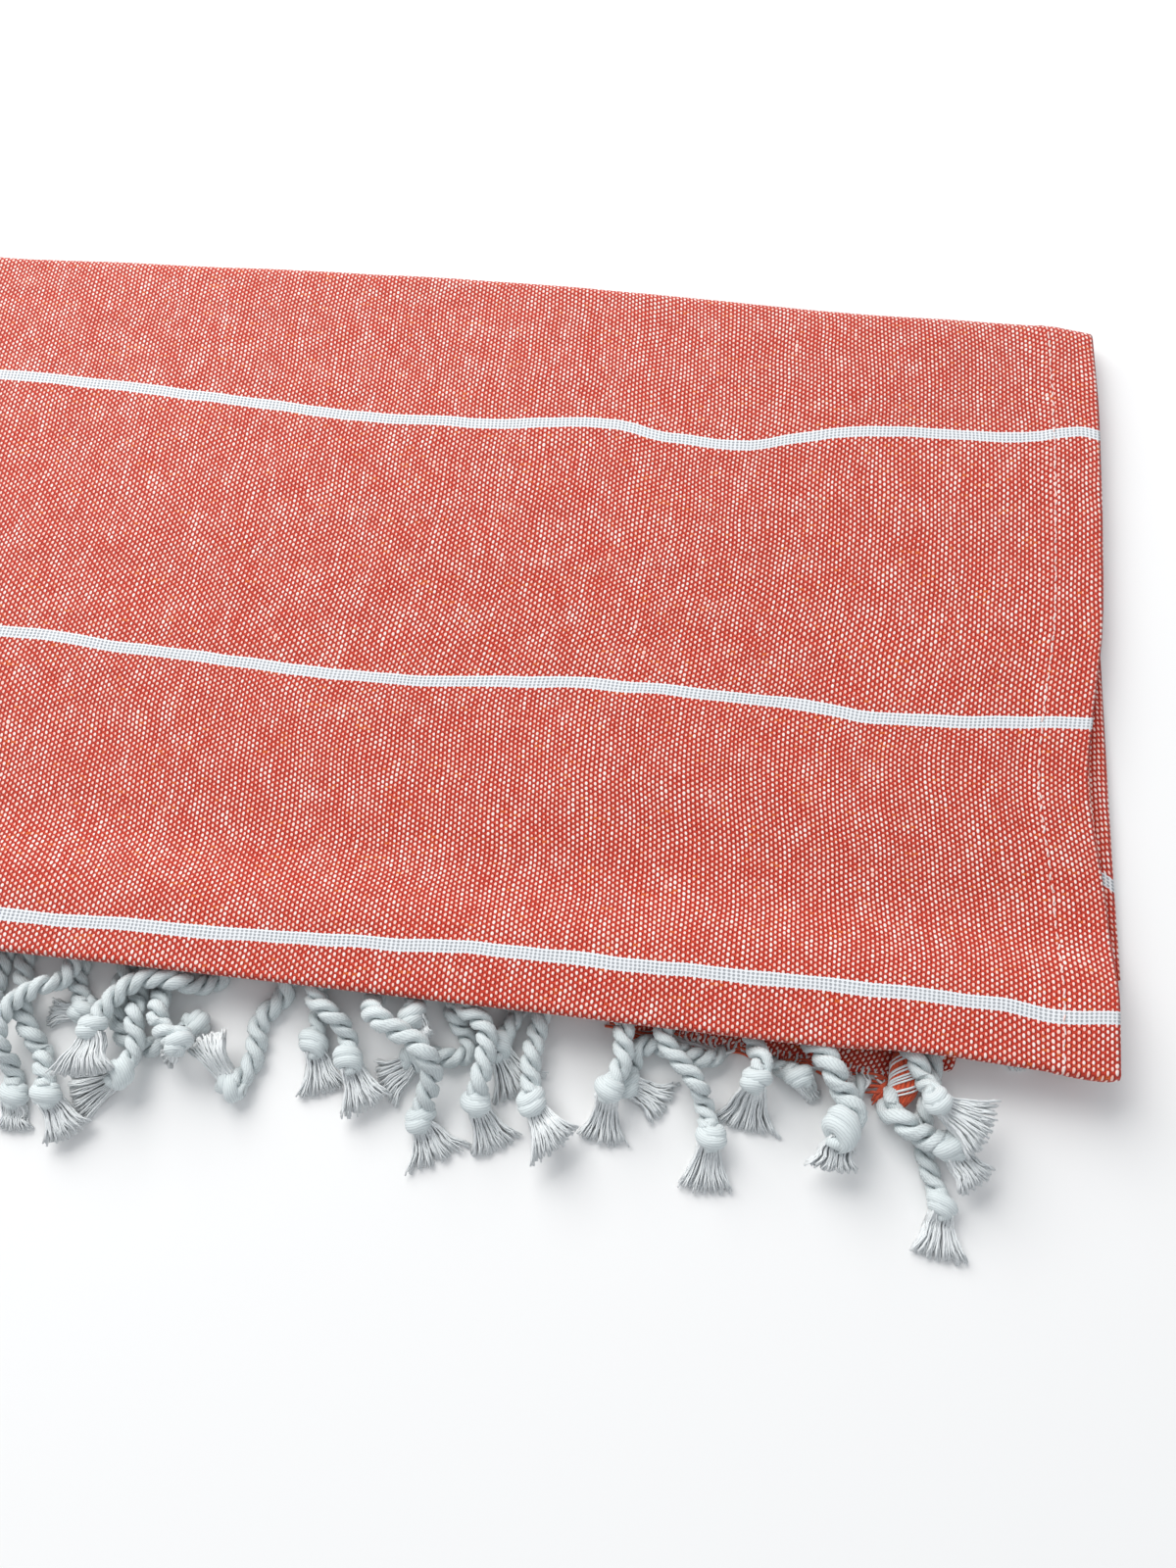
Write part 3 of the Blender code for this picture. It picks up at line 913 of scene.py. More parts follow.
class Layer(Enum):
    """Layers of the folded cloth, in the order in which the cloth runs through them."""

    SECOND = (1, 0.6, False)
    THIRD = (2, 0.8, True)
    TOP = (3, 1.0, False)
    BOTTOM = (0, 0.0, True)

    @property
    def level(self) -> int:
        """How many layers lie beneath it."""
        return self.value[0]

    @property
    def slack(self) -> float:
        """Share of the swells that it follows."""
        return self.value[1]

    @property
    def outward(self) -> bool:
        """Whether the cloth runs towards the near fold in it."""
        return self.value[2]


@dataclass(frozen=True)
class FoldPlan:
    """Mid-surface of the folded cloth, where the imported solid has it."""

    width: float = 500.0
    depth: float = 210.5
    spacing: float = 1.9
    floor_gap: float = 0.6
    rope_room: float = 8.7
    near_opening: float = 2.0
    rise_start: float = 37.0
    rise_end: float = 15.0
    upper_end: float = 23.5
    corner_start: float = 208.5
    corner_length: float = 7.0
    corner_draw: float = 3.4
    second_inset: float = 1.5
    right: WanderingLine = WanderingLine(((-105, 249.0), (-70, 249.2), (-35, 245.6),
                                          (-12, 247.6), (10, 250.2), (65, 251.0), (105, 249.8)))
    left: WanderingLine = WanderingLine(((-105, -249.0), (-40, -250.6), (30, -248.2),
                                         (105, -250.5)))
    second_right: WanderingLine = WanderingLine(((-105, 253.5), (-80, 252.9), (-40, 251.6),
                                                 (105, 248.5)))
    bottom_right: WanderingLine = WanderingLine(((-112, 211.4), (-108, 214.2), (-104, 216.0),
                                                 (-60, 222.0), (20, 238.0), (105, 247.5)))
    bottom_left: WanderingLine = WanderingLine(((-90, -271.0), (-40, -262.0), (105, -250.0)))
    far_edge: WanderingLine = WanderingLine(((-250, 104.0), (-75, 104.8), (60, 107.6),
                                             (120, 106.4), (185, 103.8), (235, 104.4),
                                             (250, 102.4)))
    near_edge: WanderingLine = WanderingLine(((-250, -104.2), (-120, -106.0), (0, -105.0),
                                              (120, -105.4), (165, -105.8), (187, -105.7),
                                              (201, -104.9), (213, -104.9), (222, -105.3),
                                              (236, -105.9), (246, -106.3), (251, -105.3)))
    bottom_end: WanderingLine = WanderingLine(((-271, -87.0), (-30, -88.2), (60, -95.8),
                                               (150, -105.3), (213, -110.8)))
    # each swell is (X, Y, reach, rise)
    swells: tuple[tuple[float, float, float, float], ...] = (
        (150.0, 62.0, 60.0, 1.4), (40.0, 20.0, 75.0, 0.8), (205.0, -20.0, 45.0, 0.9),
        (-70.0, -35.0, 60.0, 0.9), (-150.0, 45.0, 70.0, 1.3), (-215.0, -50.0, 45.0, 0.7))
    # each ripple is (rise, size along X, size along Y, place in the noise)
    ripples: tuple[tuple[float, float, float, float], ...] = (
        (0.42, 34.0, 26.0, 3.7), (0.13, 12.0, 17.0, 9.1))

    @property
    def near(self) -> float:
        """Y of the near fold."""
        return -self.depth / 2

    @property
    def far(self) -> float:
        """Y of the far fold."""
        return self.depth / 2

    @property
    def upper_row(self) -> float:
        """Y of the cloth's upper end, where the upper fringe starts."""
        return self.near + self.upper_end

    def swell(self, x: float, y: float) -> float:
        """Rise of the upper layers at a place."""
        return sum(rise * math.exp(-((x - cx) ** 2 + (y - cy) ** 2) / reach ** 2)
                   for cx, cy, reach, rise in self.swells)

    def ripple(self, x: float, y: float) -> float:
        """Small unevenness of cloth that was folded and unfolded.

        Args:
            x: X of the place.
            y: Y of the place.

        Returns:
            The height that it adds.
        """
        return sum(rise * noise.noise(Vector((x / wide, y / deep, seed)))
                   for rise, wide, deep, seed in self.ripples)

    def height(self, layer: Layer, x: float, y: float) -> float:
        """Height of a layer's mid-surface.

        Args:
            layer: The layer.
            x: X of the place.
            y: Y of the place.

        Returns:
            The height over the floor.
        """
        height = self.floor_gap + layer.level * self.spacing
        height += layer.slack * self.swell(x, y)
        if layer.level >= 2:
            over = smooth_step((self.near + self.rise_start - y)
                               / (self.rise_start - self.rise_end))
            raised = self.rope_room + self.floor_gap + (layer.level - 2) * self.near_opening
            height += (raised - height) * over
        return height + layer.slack * self.ripple(x, y)

    def sides(self, layer: Layer, y: float) -> tuple[float, float]:
        """Left and right selvedge of a layer.

        Args:
            layer: The layer.
            y: Where along Y.

        Returns:
            X of the left one and of the right one.
        """
        if layer is Layer.BOTTOM:
            return self.bottom_left.at(y), self.bottom_right.at(y)
        if layer is Layer.SECOND:
            return self.left.at(y) + self.second_inset, self.second_right.at(y)
        return self.left.at(y), self.right.at(y)

    def x_at(self, layer: Layer, across: float, y: float) -> float:
        """X at a share of a layer's width."""
        left, right = self.sides(layer, y)
        return left + (right - left) * across

    def ends(self, layer: Layer, across: float) -> tuple[float, float]:
        """Near and far end of a layer's run between its folds, at a share of its width.

        Args:
            layer: The layer.
            across: The share of the width.

        Returns:
            Y of the near end and of the far end.
        """
        near_x, far_x = (self.x_at(layer, across, y) for y in (self.near, self.far))
        far_skin = self.far_edge.at(far_x) - self.floor_gap
        near_skin = self.near_edge.at(near_x) + self.floor_gap
        inner_far = far_skin - 1.5 * self.spacing
        if layer is Layer.BOTTOM:
            return self.bottom_end.at(near_x) + self.corner(near_x), inner_far
        if layer is Layer.SECOND:
            return self.upper_row, inner_far
        return near_skin + self.near_opening / 2, inner_far

    def corner(self, x: float) -> float:
        """How far the bottom layer's end draws back at its rounded right corner."""
        return self.corner_draw * smooth_step((x - self.corner_start) / self.corner_length)

    def run(self, layer: Layer, across: float, shares: Iterable[float]) -> list[Vector]:
        """Points of one layer at a share of its width, from near to far.

        Args:
            layer: The layer.
            across: The share of the width.
            shares: Where along the run, from 0 to 1.

        Returns:
            One point a share.
        """
        near, far = self.ends(layer, across)
        points = []
        for share in shares:
            y = near + (far - near) * share
            x = self.x_at(layer, across, y)
            points.append(Vector((x, y, self.height(layer, x, y))))
        return points


@dataclass
class FoldedLine:
    """One line along the cloth: its points, and which of them lie in which layer."""

    points: list[Vector] = field(default_factory=list)
    layers: list[Layer | None] = field(default_factory=list)

    def extend(self, points: Iterable[Vector], layer: Layer | None) -> None:
        """Adds points of a layer, or of a fold where the layer is None.

        Args:
            points: The points.
            layer: Their layer, or None.
        """
        for point in points:
            self.points.append(point)
            self.layers.append(layer)


@dataclass
class StripePlan:
    """Where the stripes of the top layer lie, and how the weave runs between them."""

    spacing: float
    first: WanderingLine = WanderingLine((
        (-250, -95.5), (-150, -95.0), (-70, -97.0), (-14, -96.3), (35, -95.2), (82, -93.3),
        (106, -92.2), (160, -92.0), (220, -91.9), (237, -93.4), (250, -92.3)))
    second: WanderingLine = WanderingLine((
        (-250, -20.0), (-160, -21.5), (-90, -19.5), (-36, -20.8), (18, -23.0), (70, -24.3),
        (121, -20.4), (171, -21.2), (195, -23.1), (246, -19.3)))
    third: WanderingLine = WanderingLine((
        (-250, 61.5), (-180, 60.0), (-110, 62.0), (-60, 60.8), (-30, 59.6), (-1, 58.4),
        (28, 56.2), (48, 55.0), (71, 55.6), (95, 56.5), (120, 58.3), (134, 55.0), (153, 54.1),
        (171, 58.6), (187, 62.0), (208, 63.5), (229, 64.4), (245, 67.7), (251, 66.7)))
    lower_stretch: float = 1.0142

    def along_weave(self, line: FoldedLine) -> list[float]:
        """Distance along the warp at each point of a line, counted from the first stripe.

        Args:
            line: A line along the cloth.

        Returns:
            One distance a point.
        """
        rows = [index for index, layer in enumerate(line.layers) if layer is Layer.TOP]
        lengths = [0.0]
        for before, after in zip(line.points, line.points[1:]):
            lengths.append(lengths[-1] + (after - before).length)
        ys = [line.points[row].y for row in rows]
        top = [lengths[row] for row in rows]
        marks = []
        for order, stripe in enumerate((self.first, self.second, self.third)):
            y = stripe.at(line.points[rows[0]].x)
            x = float(np.interp(y, ys, [line.points[row].x for row in rows]))
            marks.append((float(np.interp(stripe.at(x), ys, top)), order * self.spacing))
        places, values = zip(*marks)
        woven = []
        for length in lengths:
            value = float(np.interp(length, places, values))
            if length < places[0]:
                value += (length - places[0]) * self.lower_stretch
            elif length > places[-1]:
                value += length - places[-1]
            woven.append(value)
        return woven


# ------------------------ cloth


@dataclass
class TowelCloth:
    """The woven sheet, folded in four, with a doubled hem along both selvedges."""

    plan: FoldPlan
    stripes: StripePlan
    weave: PlainWeave
    thickness: float = 0.95
    hem_thickness: float = 1.75
    hem_width: float = 13.2
    hem_edge: float = 1.6
    seam_inset: float = 1.0
    seam_width: float = 0.9
    seam_dip: float = 0.55
    lip_width: float = 1.2
    lip_dip: float = 0.25
    pressed_hem: float = 0.31
    crowding: float = 0.12
    cell: float = 4.6
    hem_cell: float = 1.1
    run_steps: int = 46
    bend_steps: int = 9
    drawn_out: float = 0.9
    lines: list[FoldedLine] = field(default_factory=list)
    shares: list[float] = field(default_factory=list)
    weave_rows: list[list[float]] = field(default_factory=list)

    def lay(self) -> None:
        """Works out every line along the cloth."""
        self.shares = self.column_shares()
        self.lines = [self.line(share) for share in self.shares]
        self.weave_rows = [self.stripes.along_weave(line) for line in self.lines]

    def column_shares(self) -> list[float]:
        """Shares of the width at which lines run, close together over the hems.

        Returns:
            The shares, from 0 to 1.
        """
        hem_zone = self.hem_width + 3.0 * self.hem_cell
        hem_steps = round(hem_zone / self.hem_cell)
        middle = round((self.plan.width - 2 * hem_zone) / self.cell)
        hem_share = hem_zone / self.plan.width
        left = [hem_share * step / hem_steps for step in range(hem_steps)]
        inner = [hem_share + (1 - 2 * hem_share) * step / middle for step in range(middle + 1)]
        return left + inner + [1.0 - share for share in reversed(left)]

    def line(self, across: float) -> FoldedLine:
        """Follows the cloth through its layers and folds at a share of its width.

        Args:
            across: The share of the width.

        Returns:
            The line, from the upper end of the cloth to the lower.
        """
        shares = [self.eased(step / self.run_steps) for step in range(self.run_steps + 1)]
        made = FoldedLine()
        for layer in Layer:
            run = self.plan.run(layer, across, shares)
            if layer is Layer.BOTTOM:
                run[0].y -= self.gather(run[0].x)
            if layer.outward:
                run.reverse()
            if made.points:
                made.extend(self.bend(made.points[-1], run[0], layer.outward), None)
            made.extend(run, layer)
        return made

    def gather(self, x: float) -> float:
        """How far the lower end is drawn out towards each rope, or in between two."""
        return self.drawn_out * math.cos(math.tau * (x - LOWER_ROOT) / ROPE_PITCH)

    def eased(self, share: float) -> float:
        """Crowds steps towards both ends of a run."""
        return share - self.crowding * math.sin(math.tau * share)

    def bend(self, start: Vector, end: Vector, at_far_fold: bool) -> list[Vector]:
        """Points of the half turn between two layers, without its ends.

        Args:
            start: Where the first layer ends.
            end: Where the second starts.
            at_far_fold: Whether it turns at the far fold.

        Returns:
            The points in between.
        """
        middle, radius = (start + end) / 2, (end - start).length / 2
        side = 1.0 if at_far_fold else -1.0
        points = []
        for step in range(1, self.bend_steps):
            angle = math.pi * step / self.bend_steps
            point = middle + (start - middle) * math.cos(angle)
            point.y += side * radius * math.sin(angle)
            points.append(point)
        return points

    def hem_weight(self, share: float) -> float:
        """Thickness over the width, from 0 for one layer of cloth to 1 for a doubled hem.

        Args:
            share: The share of the width.

        Returns:
            The thickness there, which dips at the seam and at the very edge.
        """
        inset = min(share, 1.0 - share) * self.plan.width
        past_hem = inset - self.hem_width
        if past_hem > self.hem_edge:
            return 0.0
        seam = math.exp(-((past_hem + self.seam_inset) / self.seam_width) ** 2)
        edge = smooth_step((self.hem_edge - past_hem) / self.hem_edge)
        lip = math.exp(-(inset / self.lip_width) ** 2)
        return max(edge - self.seam_dip * seam - self.lip_dip * lip, 0.0)

    def surface(self) -> np.ndarray:
        """Mid-surface points, indexed by line, by place along it and by axis."""
        return np.array([[tuple(point) for point in line.points] for line in self.lines])

    def normals(self) -> np.ndarray:
        """Unit normals of the mid-surface, out of the face that shows on top.

        Returns:
            One normal a point, indexed as the surface is.
        """
        points = self.surface()
        across = np.gradient(points, axis=0)
        ahead = np.gradient(points, axis=1)
        return unit(np.cross(across, ahead))

    def build(self) -> bpy.types.Object:
        """Makes the sheet as one closed mesh with the weave's coordinates.

        Returns:
            The sheet.
        """
        self.lay()
        points = self.surface()
        columns, rows = points.shape[:2]
        mesh = flat_grid("towel_cloth", columns, rows, CLOTH_MAP)
        u = np.tile(np.array(self.shares) * self.plan.width, rows)
        v = np.array(self.weave_rows).T.reshape(-1)
        shaped(mesh, points.transpose(1, 0, 2).reshape(-1, 3), CLOTH_MAP, np.stack((u, v), axis=1))
        mesh.polygons.foreach_set("use_smooth", [True] * len(mesh.polygons))
        piece = placed("towel_cloth", mesh, self.weave.material("coral_plain_weave"))
        self.thicken(piece, columns, rows)
        return piece

    def thicken(self, piece: bpy.types.Object, columns: int, rows: int) -> None:
        """Gives the sheet its thickness, which grows over the hems.

        Args:
            piece: The sheet.
            columns: Its points across the width.
            rows: Its points along the cloth.
        """
        group = piece.vertex_groups.new(name="hem")
        beneath = self.lines[0].layers.index(Layer.BOTTOM)
        parts = ((range(beneath), 1.0), (range(beneath, rows), self.pressed_hem))
        for column, share in enumerate(self.shares):
            weight = self.hem_weight(share)
            for part, pressed in parts if weight > 0.0 else ():
                group.add([row * columns + column for row in part], weight * pressed, "REPLACE")
        solid = piece.modifiers.new("thickness", "SOLIDIFY")
        solid.thickness = self.hem_thickness * METRE
        solid.offset = 0.0
        solid.vertex_group = group.name
        solid.thickness_vertex_group = self.thickness / self.hem_thickness

    def flat_length(self) -> float:
        """Length of the cloth along its middle, between the two fringes."""
        middle = self.lines[len(self.lines) // 2].points
        return sum((after - before).length for before, after in zip(middle, middle[1:]))


@dataclass
class HemStitching:
    """White chain stitches that hold the hems, on the face that shows."""

    cloth: TowelCloth
    thread: CottonYarn
    stitch: float = 2.9
    gap: float = 0.35
    radius: float = 0.26
    points_each: int = 6
    sides: int = 5
    bow: float = 0.30
    raised: float = 0.62
    sunk: float = 0.18
    slant: float = 0.28
    seed: int = 11

    def build(self) -> bpy.types.Object:
        """Makes the stitches of both hems, over the top and bottom layers.

        Returns:
            The stitches, as one piece.
        """
        batch = TubeBatch()
        chance = np.random.default_rng(self.seed)
        points, normals = self.cloth.surface(), self.cloth.normals()
        layers = self.cloth.lines[0].layers
        first = layers.index(Layer.TOP) - self.cloth.bend_steps
        for mirrored in (False, True):
            share = (self.cloth.hem_width - self.cloth.seam_inset) / self.cloth.plan.width
            share = share if mirrored else 1.0 - share
            line, out = self.seam(points, normals, share, first)
            batch.add(self.stitches(line, out, chance))
        return batch.build("hem_stitches", self.thread.material("sewing_thread"))

    def seam(self, points: np.ndarray, normals: np.ndarray, share: float,
             first: int) -> tuple[np.ndarray, np.ndarray]:
        """The line that a seam follows.

        Args:
            points: The cloth's mid-surface.
            normals: Its normals.
            share: The seam's share of the width.
            first: The first place along the cloth to stitch.

        Returns:
            The seam's points and normals.
        """
        shares = self.cloth.shares
        high = next(i for i, value in enumerate(shares) if value >= share)
        part = (share - shares[high - 1]) / (shares[high] - shares[high - 1])
        line = points[high - 1] * (1 - part) + points[high] * part
        out = normals[high - 1] * (1 - part) + normals[high] * part
        return line[first:], out[first:]

    def stitches(self, line: np.ndarray, out: np.ndarray,
                 chance: np.random.Generator) -> Iterator[Tube]:
        """Yields each stitch as a short bowed thread.

        Args:
            line: The seam's points.
            out: The seam's normals.
            chance: Source of small unevenness.

        Yields:
            One tube a stitch.
        """
        along = distances(line)
        lift = self.cloth.thickness * self.raised - self.sunk
        arch = np.sin(np.linspace(0.0, math.pi, self.points_each))
        radii = self.radius * (0.75 + 0.25 * arch)
        slant = np.linspace(-self.slant, self.slant, self.points_each)
        for start in np.arange(1.0, along[-1] - self.stitch, self.stitch):
            slant = -slant
            length = self.stitch - self.gap * chance.uniform(0.4, 1.8)
            targets = start + np.linspace(0.0, length, self.points_each)
            middle, normal = (values_at(rows, along, targets) for rows in (line, out))
            aside = np.cross(normal, tangents(middle))
            sway = slant + chance.uniform(-0.12, 0.12)
            middle = middle + normal * (lift + self.bow * arch)[:, None] + aside * sway[:, None]
            yield swept(middle, aside, normal, radii, radii * 0.8, self.sides)


# ------------------------ fringe layout


class Over(Enum):
    """Order in which ropes are laid: a later one lies on top of those it crosses."""

    FIRST = 0
    NEXT = 1
    THEN = 2
    LAST = 3


Place = tuple[float, float]


@dataclass(frozen=True)
class RopeRow:
    """One rope as seen from above.

    Places are (along X from its place in the row, out from the near fold). The rope runs from
    its start through its bends to its knot, and its tuft points on from there.
    """

    bends: tuple[Place, ...]
    knot: Place
    tuft_deg: float
    tuft_length: float
    over: Over = Over.FIRST
    start: float = 0.0
    spread: float = 1.0
    stout: float = 1.0


# where nothing shows of a rope, its place in the row is empty
LOWER_ROWS = (
    RopeRow(((-4.6, 10.8), (-1.6, 14.6), (3.4, 17.2)),
            (8.4, 18.4), -50, 10, Over.THEN, start=-1.4, stout=1.15),
    RopeRow(((3.4, 8.6),), (2.2, 15.6), -92, 7, start=5.6, spread=0.7),
    RopeRow((), (6.2, 6.6), -46, 6.4, spread=0.6),
    RopeRow(((1.2, 5.0), (-4.2, 4.9), (-9.2, 3.6), (-13.2, 3.4), (-16.0, 6.4)),
            (-17.0, 12.6), -28, 10.5, start=4.6),
    None,
    None,
    RopeRow(((1.2, 2.6),), (-1.4, 7.8), -54, 12, start=2.4, spread=1.1),
    RopeRow(((2.8, 1.0), (5.2, 4.4), (7.8, 8.2), (5.6, 11.4), (0.8, 11.2)),
            (-4.0, 12.6), 213, 10, start=1, spread=1.1),
    RopeRow(((-0.6, 0.3), (0.6, 3.8), (6.5, 7.3), (13.1, 10.4), (16.6, 14.8), (15.6, 20.4)),
            (14.6, 25.6), -60, 10.5, Over.THEN, spread=1.3, stout=1.06),
    RopeRow(((1.7, 3.2),), (2.3, 11.8), -69, 11.5),
    None,
    RopeRow(((-6.2, 0.5), (-5.0, 6.0), (-3.0, 10.6), (-0.4, 13.6)),
            (4.6, 15.6), 218, 6.5, Over.THEN, spread=0.8),
    RopeRow(((-0.6, 2.0), (-0.2, 8.0), (2.2, 14.0), (6.0, 16.8), (12.5, 16.2)),
            (20.0, 10.4), -80, 5.2, spread=0.6),
    RopeRow(((3.5, 0.2), (2.6, 3.6), (-1.4, 6.4), (-5.6, 9.2), (-8.7, 13.5), (-8.6, 19.0),
             (-6.0, 24.6)),
            (-3.8, 31.2), -87, 8, Over.THEN),
    RopeRow(((0.0, 4.0),), (1.5, 22.0), -100, 12),
    RopeRow(((4.0, 6.0),), (5.0, 20.0), -80, 12),
)

UPPER_ROWS = (
    RopeRow(((0.3, -18.0),), (0.0, -12.8), -92, 9),
    RopeRow(((0.3, -18.0),), (0.0, -11.6), -93, 10.8, spread=0.6),
    RopeRow(((-3.4, 0.0), (-3.8, 6.0), (-5.0, 11.5), (-4.8, 20.0)),
            (-0.8, 30.8), -97, 11.5, Over.NEXT),
    RopeRow(((6.6, -1.0), (9.0, 3.8)), (10.8, 9.6), -23, 13, Over.LAST),
    RopeRow(((-0.2, -1.0), (2.7, 2.2), (6.3, 8.4), (9.7, 14.0)),
            (6.6, 17.8), -92, 9, Over.LAST, spread=1.2, stout=1.24),
    RopeRow(((1.8, 0.0), (4.0, 4.2)), (3.0, 9.0), -99, 11, Over.NEXT, spread=1.3),
    RopeRow(((-3.5, -0.4), (-1.6, 4.0), (2.8, 8.4), (6.4, 12.6)), (9.6, 22.2), -91, 12, Over.THEN),
    RopeRow(((3.4, -0.6), (3.2, 3.2), (4.1, 7.6)),
            (1.4, 14.6), -97, 12, Over.NEXT, spread=0.9, stout=1.06),
    RopeRow(((-0.8, 0.5), (-1.5, 6.0), (-1.6, 12.0)), (-0.3, 19.2), -46, 12, Over.NEXT),
    RopeRow(((-2.9, -0.2), (1.8, 3.0), (3.5, 7.0), (3.4, 13.0)), (2.5, 20.8), -60, 11.5, Over.THEN),
    RopeRow(((0.6, -3.0),), (0.8, 3.0), -48, 6.6, spread=0.6),
    RopeRow(((-8.2, 0.2), (-5.0, 3.6), (0.8, 8.0)), (2.9, 14.8), -58, 12, Over.NEXT),
    RopeRow(((-0.3, 0.5), (-5.0, 8.0), (-4.6, 15.0), (-5.2, 19.0)),
            (-8.3, 24.0), 122, 13.0, Over.NEXT, spread=0.7, stout=1.06),
    RopeRow(((-0.1, -3.5), (-3.0, 0.6), (-9.2, 1.6), (-14.8, 1.3), (-20.0, 3.2), (-24.6, 8.4)),
            (-26.5, 14.0), -80, 12, Over.LAST, spread=1.15),
    RopeRow(((-4.8, 0.0), (-4.6, 4.6), (-3.2, 9.4), (-1.8, 14.0), (-0.7, 18.0)),
            (-2.6, 23.8), 209, 14, Over.NEXT),
    RopeRow(((-5.0, 0.0), (-4.6, 4.0)), (-0.7, 10.2), 184, 9.5, spread=0.7),
    RopeRow(((-3.7, 0.0), (-1.6, 6.4), (1.0, 13.4), (6.4, 20.0), (9.8, 25.4)),
            (12.0, 30.4), -55, 11, Over.NEXT),
    RopeRow(((0.5, 2.0),), (1.0, 8.0), -85, 10),
)


class FringeName(Enum):
    """The two fringes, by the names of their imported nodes."""

    LOWER = "fringe_lower"
    UPPER = "fringe_upper"


@dataclass(frozen=True)
class FringePlan:
    """A fringe: where its ropes start, and the row that its rows repeat from."""

    name: FringeName
    rows: tuple[RopeRow | None, ...]
    first_root: float
    count: int
    repeat_from: int
    strip_base: float

    def roots(self) -> Iterator[tuple[float, RopeRow]]:
        """Yields X and row of each rope, from the right.

        Yields:
            X of the root, and the row.
        """
        period = len(self.rows) - self.repeat_from
        for index in range(self.count):
            row = index
            if index >= len(self.rows):
                row = self.repeat_from + (index - len(self.rows)) % period
            if self.rows[row] is not None:
                yield self.first_root - index * ROPE_PITCH, self.rows[row]


class HeightMap:
    """Tops of what lies under the fringes, so that each rope is laid over it."""

    def __init__(self, left: float, right: float, near: float, far: float, cell: float) -> None:
        """Starts with an empty floor between the four sides.

        Args:
            left: Lowest X.
            right: Highest X.
            near: Lowest Y.
            far: Highest Y.
            cell: Size of a cell.
        """
        self.left, self.near, self.cell = left, near, cell
        self.xs = left + cell * np.arange(int((right - left) / cell))
        self.ys = near + cell * np.arange(int((far - near) / cell))
        self.tops = np.zeros((len(self.xs), len(self.ys)))

    def cover(self, left: float, right: float, near_at: Callable[[float], float],
              top: float) -> None:
        """Lays a sheet from an edge, near_at(x), to the far side of the map.

        Args:
            left: Lowest X of the sheet.
            right: Highest X.
            near_at: Its near edge.
            top: Its upper face.
        """
        for index, x in enumerate(self.xs):
            if left <= x <= right:
                self.tops[index][self.ys >= near_at(x)] = top

    def window(self, point: Vector, reach: float) -> tuple[tuple[slice, slice], np.ndarray]:
        """Cells around a point, and which of them are within reach.

        Args:
            point: The middle.
            reach: The radius.

        Returns:
            The block of cells around it, and a mask of those within reach.
        """
        low_x = max(int((point.x - reach - self.left) / self.cell), 0)
        high_x = int((point.x + reach - self.left) / self.cell) + 2
        low_y = max(int((point.y - reach - self.near) / self.cell), 0)
        high_y = int((point.y + reach - self.near) / self.cell) + 2
        dx = self.xs[low_x:high_x, None] - point.x
        dy = self.ys[None, low_y:high_y] - point.y
        return np.s_[low_x:high_x, low_y:high_y], dx * dx + dy * dy <= reach * reach

    def highest(self, point: Vector, reach: float) -> float:
        """Highest top within reach of a point.

        Args:
            point: The middle.
            reach: The radius.

        Returns:
            The height, or 0 off the map.
        """
        part, near = self.window(point, reach)
        tops = self.tops[part][near]
        return float(tops.max()) if tops.size else 0.0

    def raise_to(self, point: Vector, reach: float, top: float) -> None:
        """Records a top within reach of a point.

        Args:
            point: The middle.
            reach: The radius.
            top: The height.
        """
        part, near = self.window(point, reach)
        patch = self.tops[part]
        patch[near] = np.maximum(patch[near], top)


@dataclass
class Ring:
    """Cross-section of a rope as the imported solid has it."""

    middle: Vector
    width: float
    height: float
    base: float = 0.0


@dataclass
class LaidRope:
    """A rope in its place, from its root to the tip of its tuft."""

    row: RopeRow
    root_x: float
    rings: list[Ring]
    knot: Vector
    arriving: Vector
    tuft: Vector
    knot_base: float
    tip_base: float
    under_fold: float

    def beyond_knot(self, out: float, aside: float, height: float) -> np.ndarray:
        """A point in the tuft.

        Args:
            out: How far from the knot's middle along the tuft.
            aside: How far to the right of its middle line.
            height: How far over the floor.

        Returns:
            The point.
        """
        along, across = np.array(self.tuft), np.array((self.tuft.y, -self.tuft.x))
        return np.append(np.array(self.knot) + along * out + across * aside, height)


